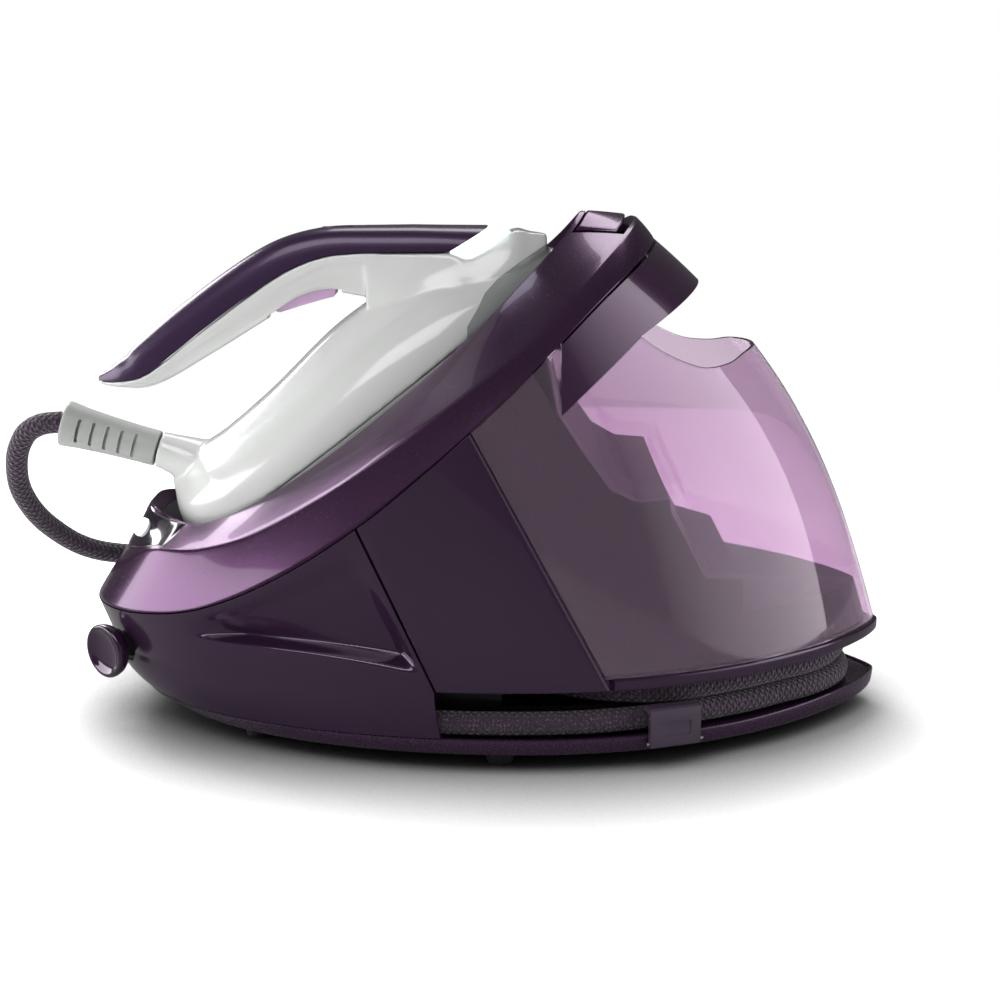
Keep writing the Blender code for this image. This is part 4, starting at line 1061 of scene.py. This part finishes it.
def make_stage():
    """A plain pale floor with a painted contact shadow, darker close to the object. It stays dim in the object's
    gloss, as with dark flags.
    """
    mesh = bpy.data.meshes.new("floor")
    mesh.from_pydata([(-1, -1, 0), (1, -1, 0), (1, 1, 0), (-1, 1, 0)], [], [(0, 1, 2, 3)])
    floor = placed("floor", mesh)
    made_floor, tree, shader = new_material("floor_white")
    tinted(tree, shader, grain(tree, 3), (0.97, 0.97, 0.97), (1.0, 1.0, 1.0))
    # Painted contact shadow: ambient occlusion darkens the floor's colour and glow near the object.
    near = new_node(tree, "AmbientOcclusion", {"Distance": SHADE_REACH})
    near.samples = 8
    white = shader.inputs["Base Color"].links[0].from_socket
    shade = mixed_colour(tree, white, maths(tree, "POWER", near.outputs["AO"], SHADE_POWER), 1.0, "MULTIPLY")
    wired(shader, {"Base Color": shade, "Emission Color": shade, "Emission Strength": FLOOR_GLOW,
                   "Roughness": 0.9, "Specular IOR Level": 0.0})
    dim = new_node(tree, "BsdfDiffuse", {"Color": (0.16, 0.16, 0.16, 1)})
    rays = new_node(tree, "LightPath").outputs
    mirrored = maths(tree, "MULTIPLY", rays["Is Glossy Ray"], rays["Is Reflection Ray"])
    choice = new_node(tree, "MixShader",
                      {"Fac": mirrored, 1: shader.outputs["BSDF"], 2: dim.outputs["BSDF"]})
    wired(tree.nodes["Material Output"], {"Surface": choice.outputs["Shader"]})
    mesh.materials.append(made_floor)


def area_light(name, place, target, size, power, fade=None):
    """A softbox. fade gives its brightness at the left and right ends, as seen from the front of the box."""
    data = bpy.data.lights.new(name, "AREA")
    data.shape = "RECTANGLE"
    data.size, data.size_y = size
    data.energy = power
    obj = placed(name, data)
    obj.location = place
    obj.rotation_euler = (Vector(target) - Vector(place)).to_track_quat("-Z", "Y").to_euler()
    if fade:
        data.use_nodes = True
        tree = data.node_tree
        place_on_box = new_node(tree, "NewGeometry").outputs["Parametric"]
        strength = rescaled(tree, axes(tree, place_on_box)["X"], (0, 1), fade)
        wired(tree.nodes["Emission"], {"Strength": strength})
    return obj


def make_world():
    """White where it is seen directly or through the clear tank, and dim in reflections and as light."""
    world = bpy.data.worlds.new("studio")
    bpy.context.scene.world = world
    world.use_nodes = True
    tree = world.node_tree
    rays = new_node(tree, "LightPath").outputs
    seen = maths(tree, "MAXIMUM", rays["Is Camera Ray"], rays["Is Transmission Ray"])
    strength = rescaled(tree, seen, (0, 1), (WORLD_DIM, 1.0))
    wired(tree.nodes["Background"], {"Color": (1, 1, 1, 1), "Strength": strength})


def make_lights():
    make_world()
    area_light("left_box", (-1.4, -0.1, 0.40), (-0.1, 0, 0.20), (1.2, 0.62), 12.5)
    area_light("right_box", (1.25, -0.60, 0.50), (0.1, -0.5, 0.3), (1.3, 1.1), 14, (0.05, 1.0))
    area_light("back_box", (0.12, 0.82, 1.30), (0, 0, 0.2), (0.9, 0.6), 7)
    area_light("heel_box", (-0.41, 0.23, 0.37), (-0.16, -0.06, 0.12), (0.22, 0.22), 1.4)
    area_light("front_box", (-0.35, -1.1, 1.35), (-0.05, 0, 0.15), (1.2, 0.7), 11)
    wash = area_light("floor_wash", (-1.0, 0.6, 3.9), (0, 0.1, 0), (1.7, 1.7), 74)
    only_floor = bpy.data.collections.new("floor_only")
    only_floor.objects.link(bpy.data.objects["floor"])
    wash.light_linking.receiver_collection = only_floor


make_plate()
make_housing()
make_side_panels()
make_dock()
make_ring()
make_controls()
make_tray()
make_knob()
make_clip()
make_tank()
make_tank_cap()
make_iron_body()
make_guard()
make_handle()
make_stage()
make_lights()
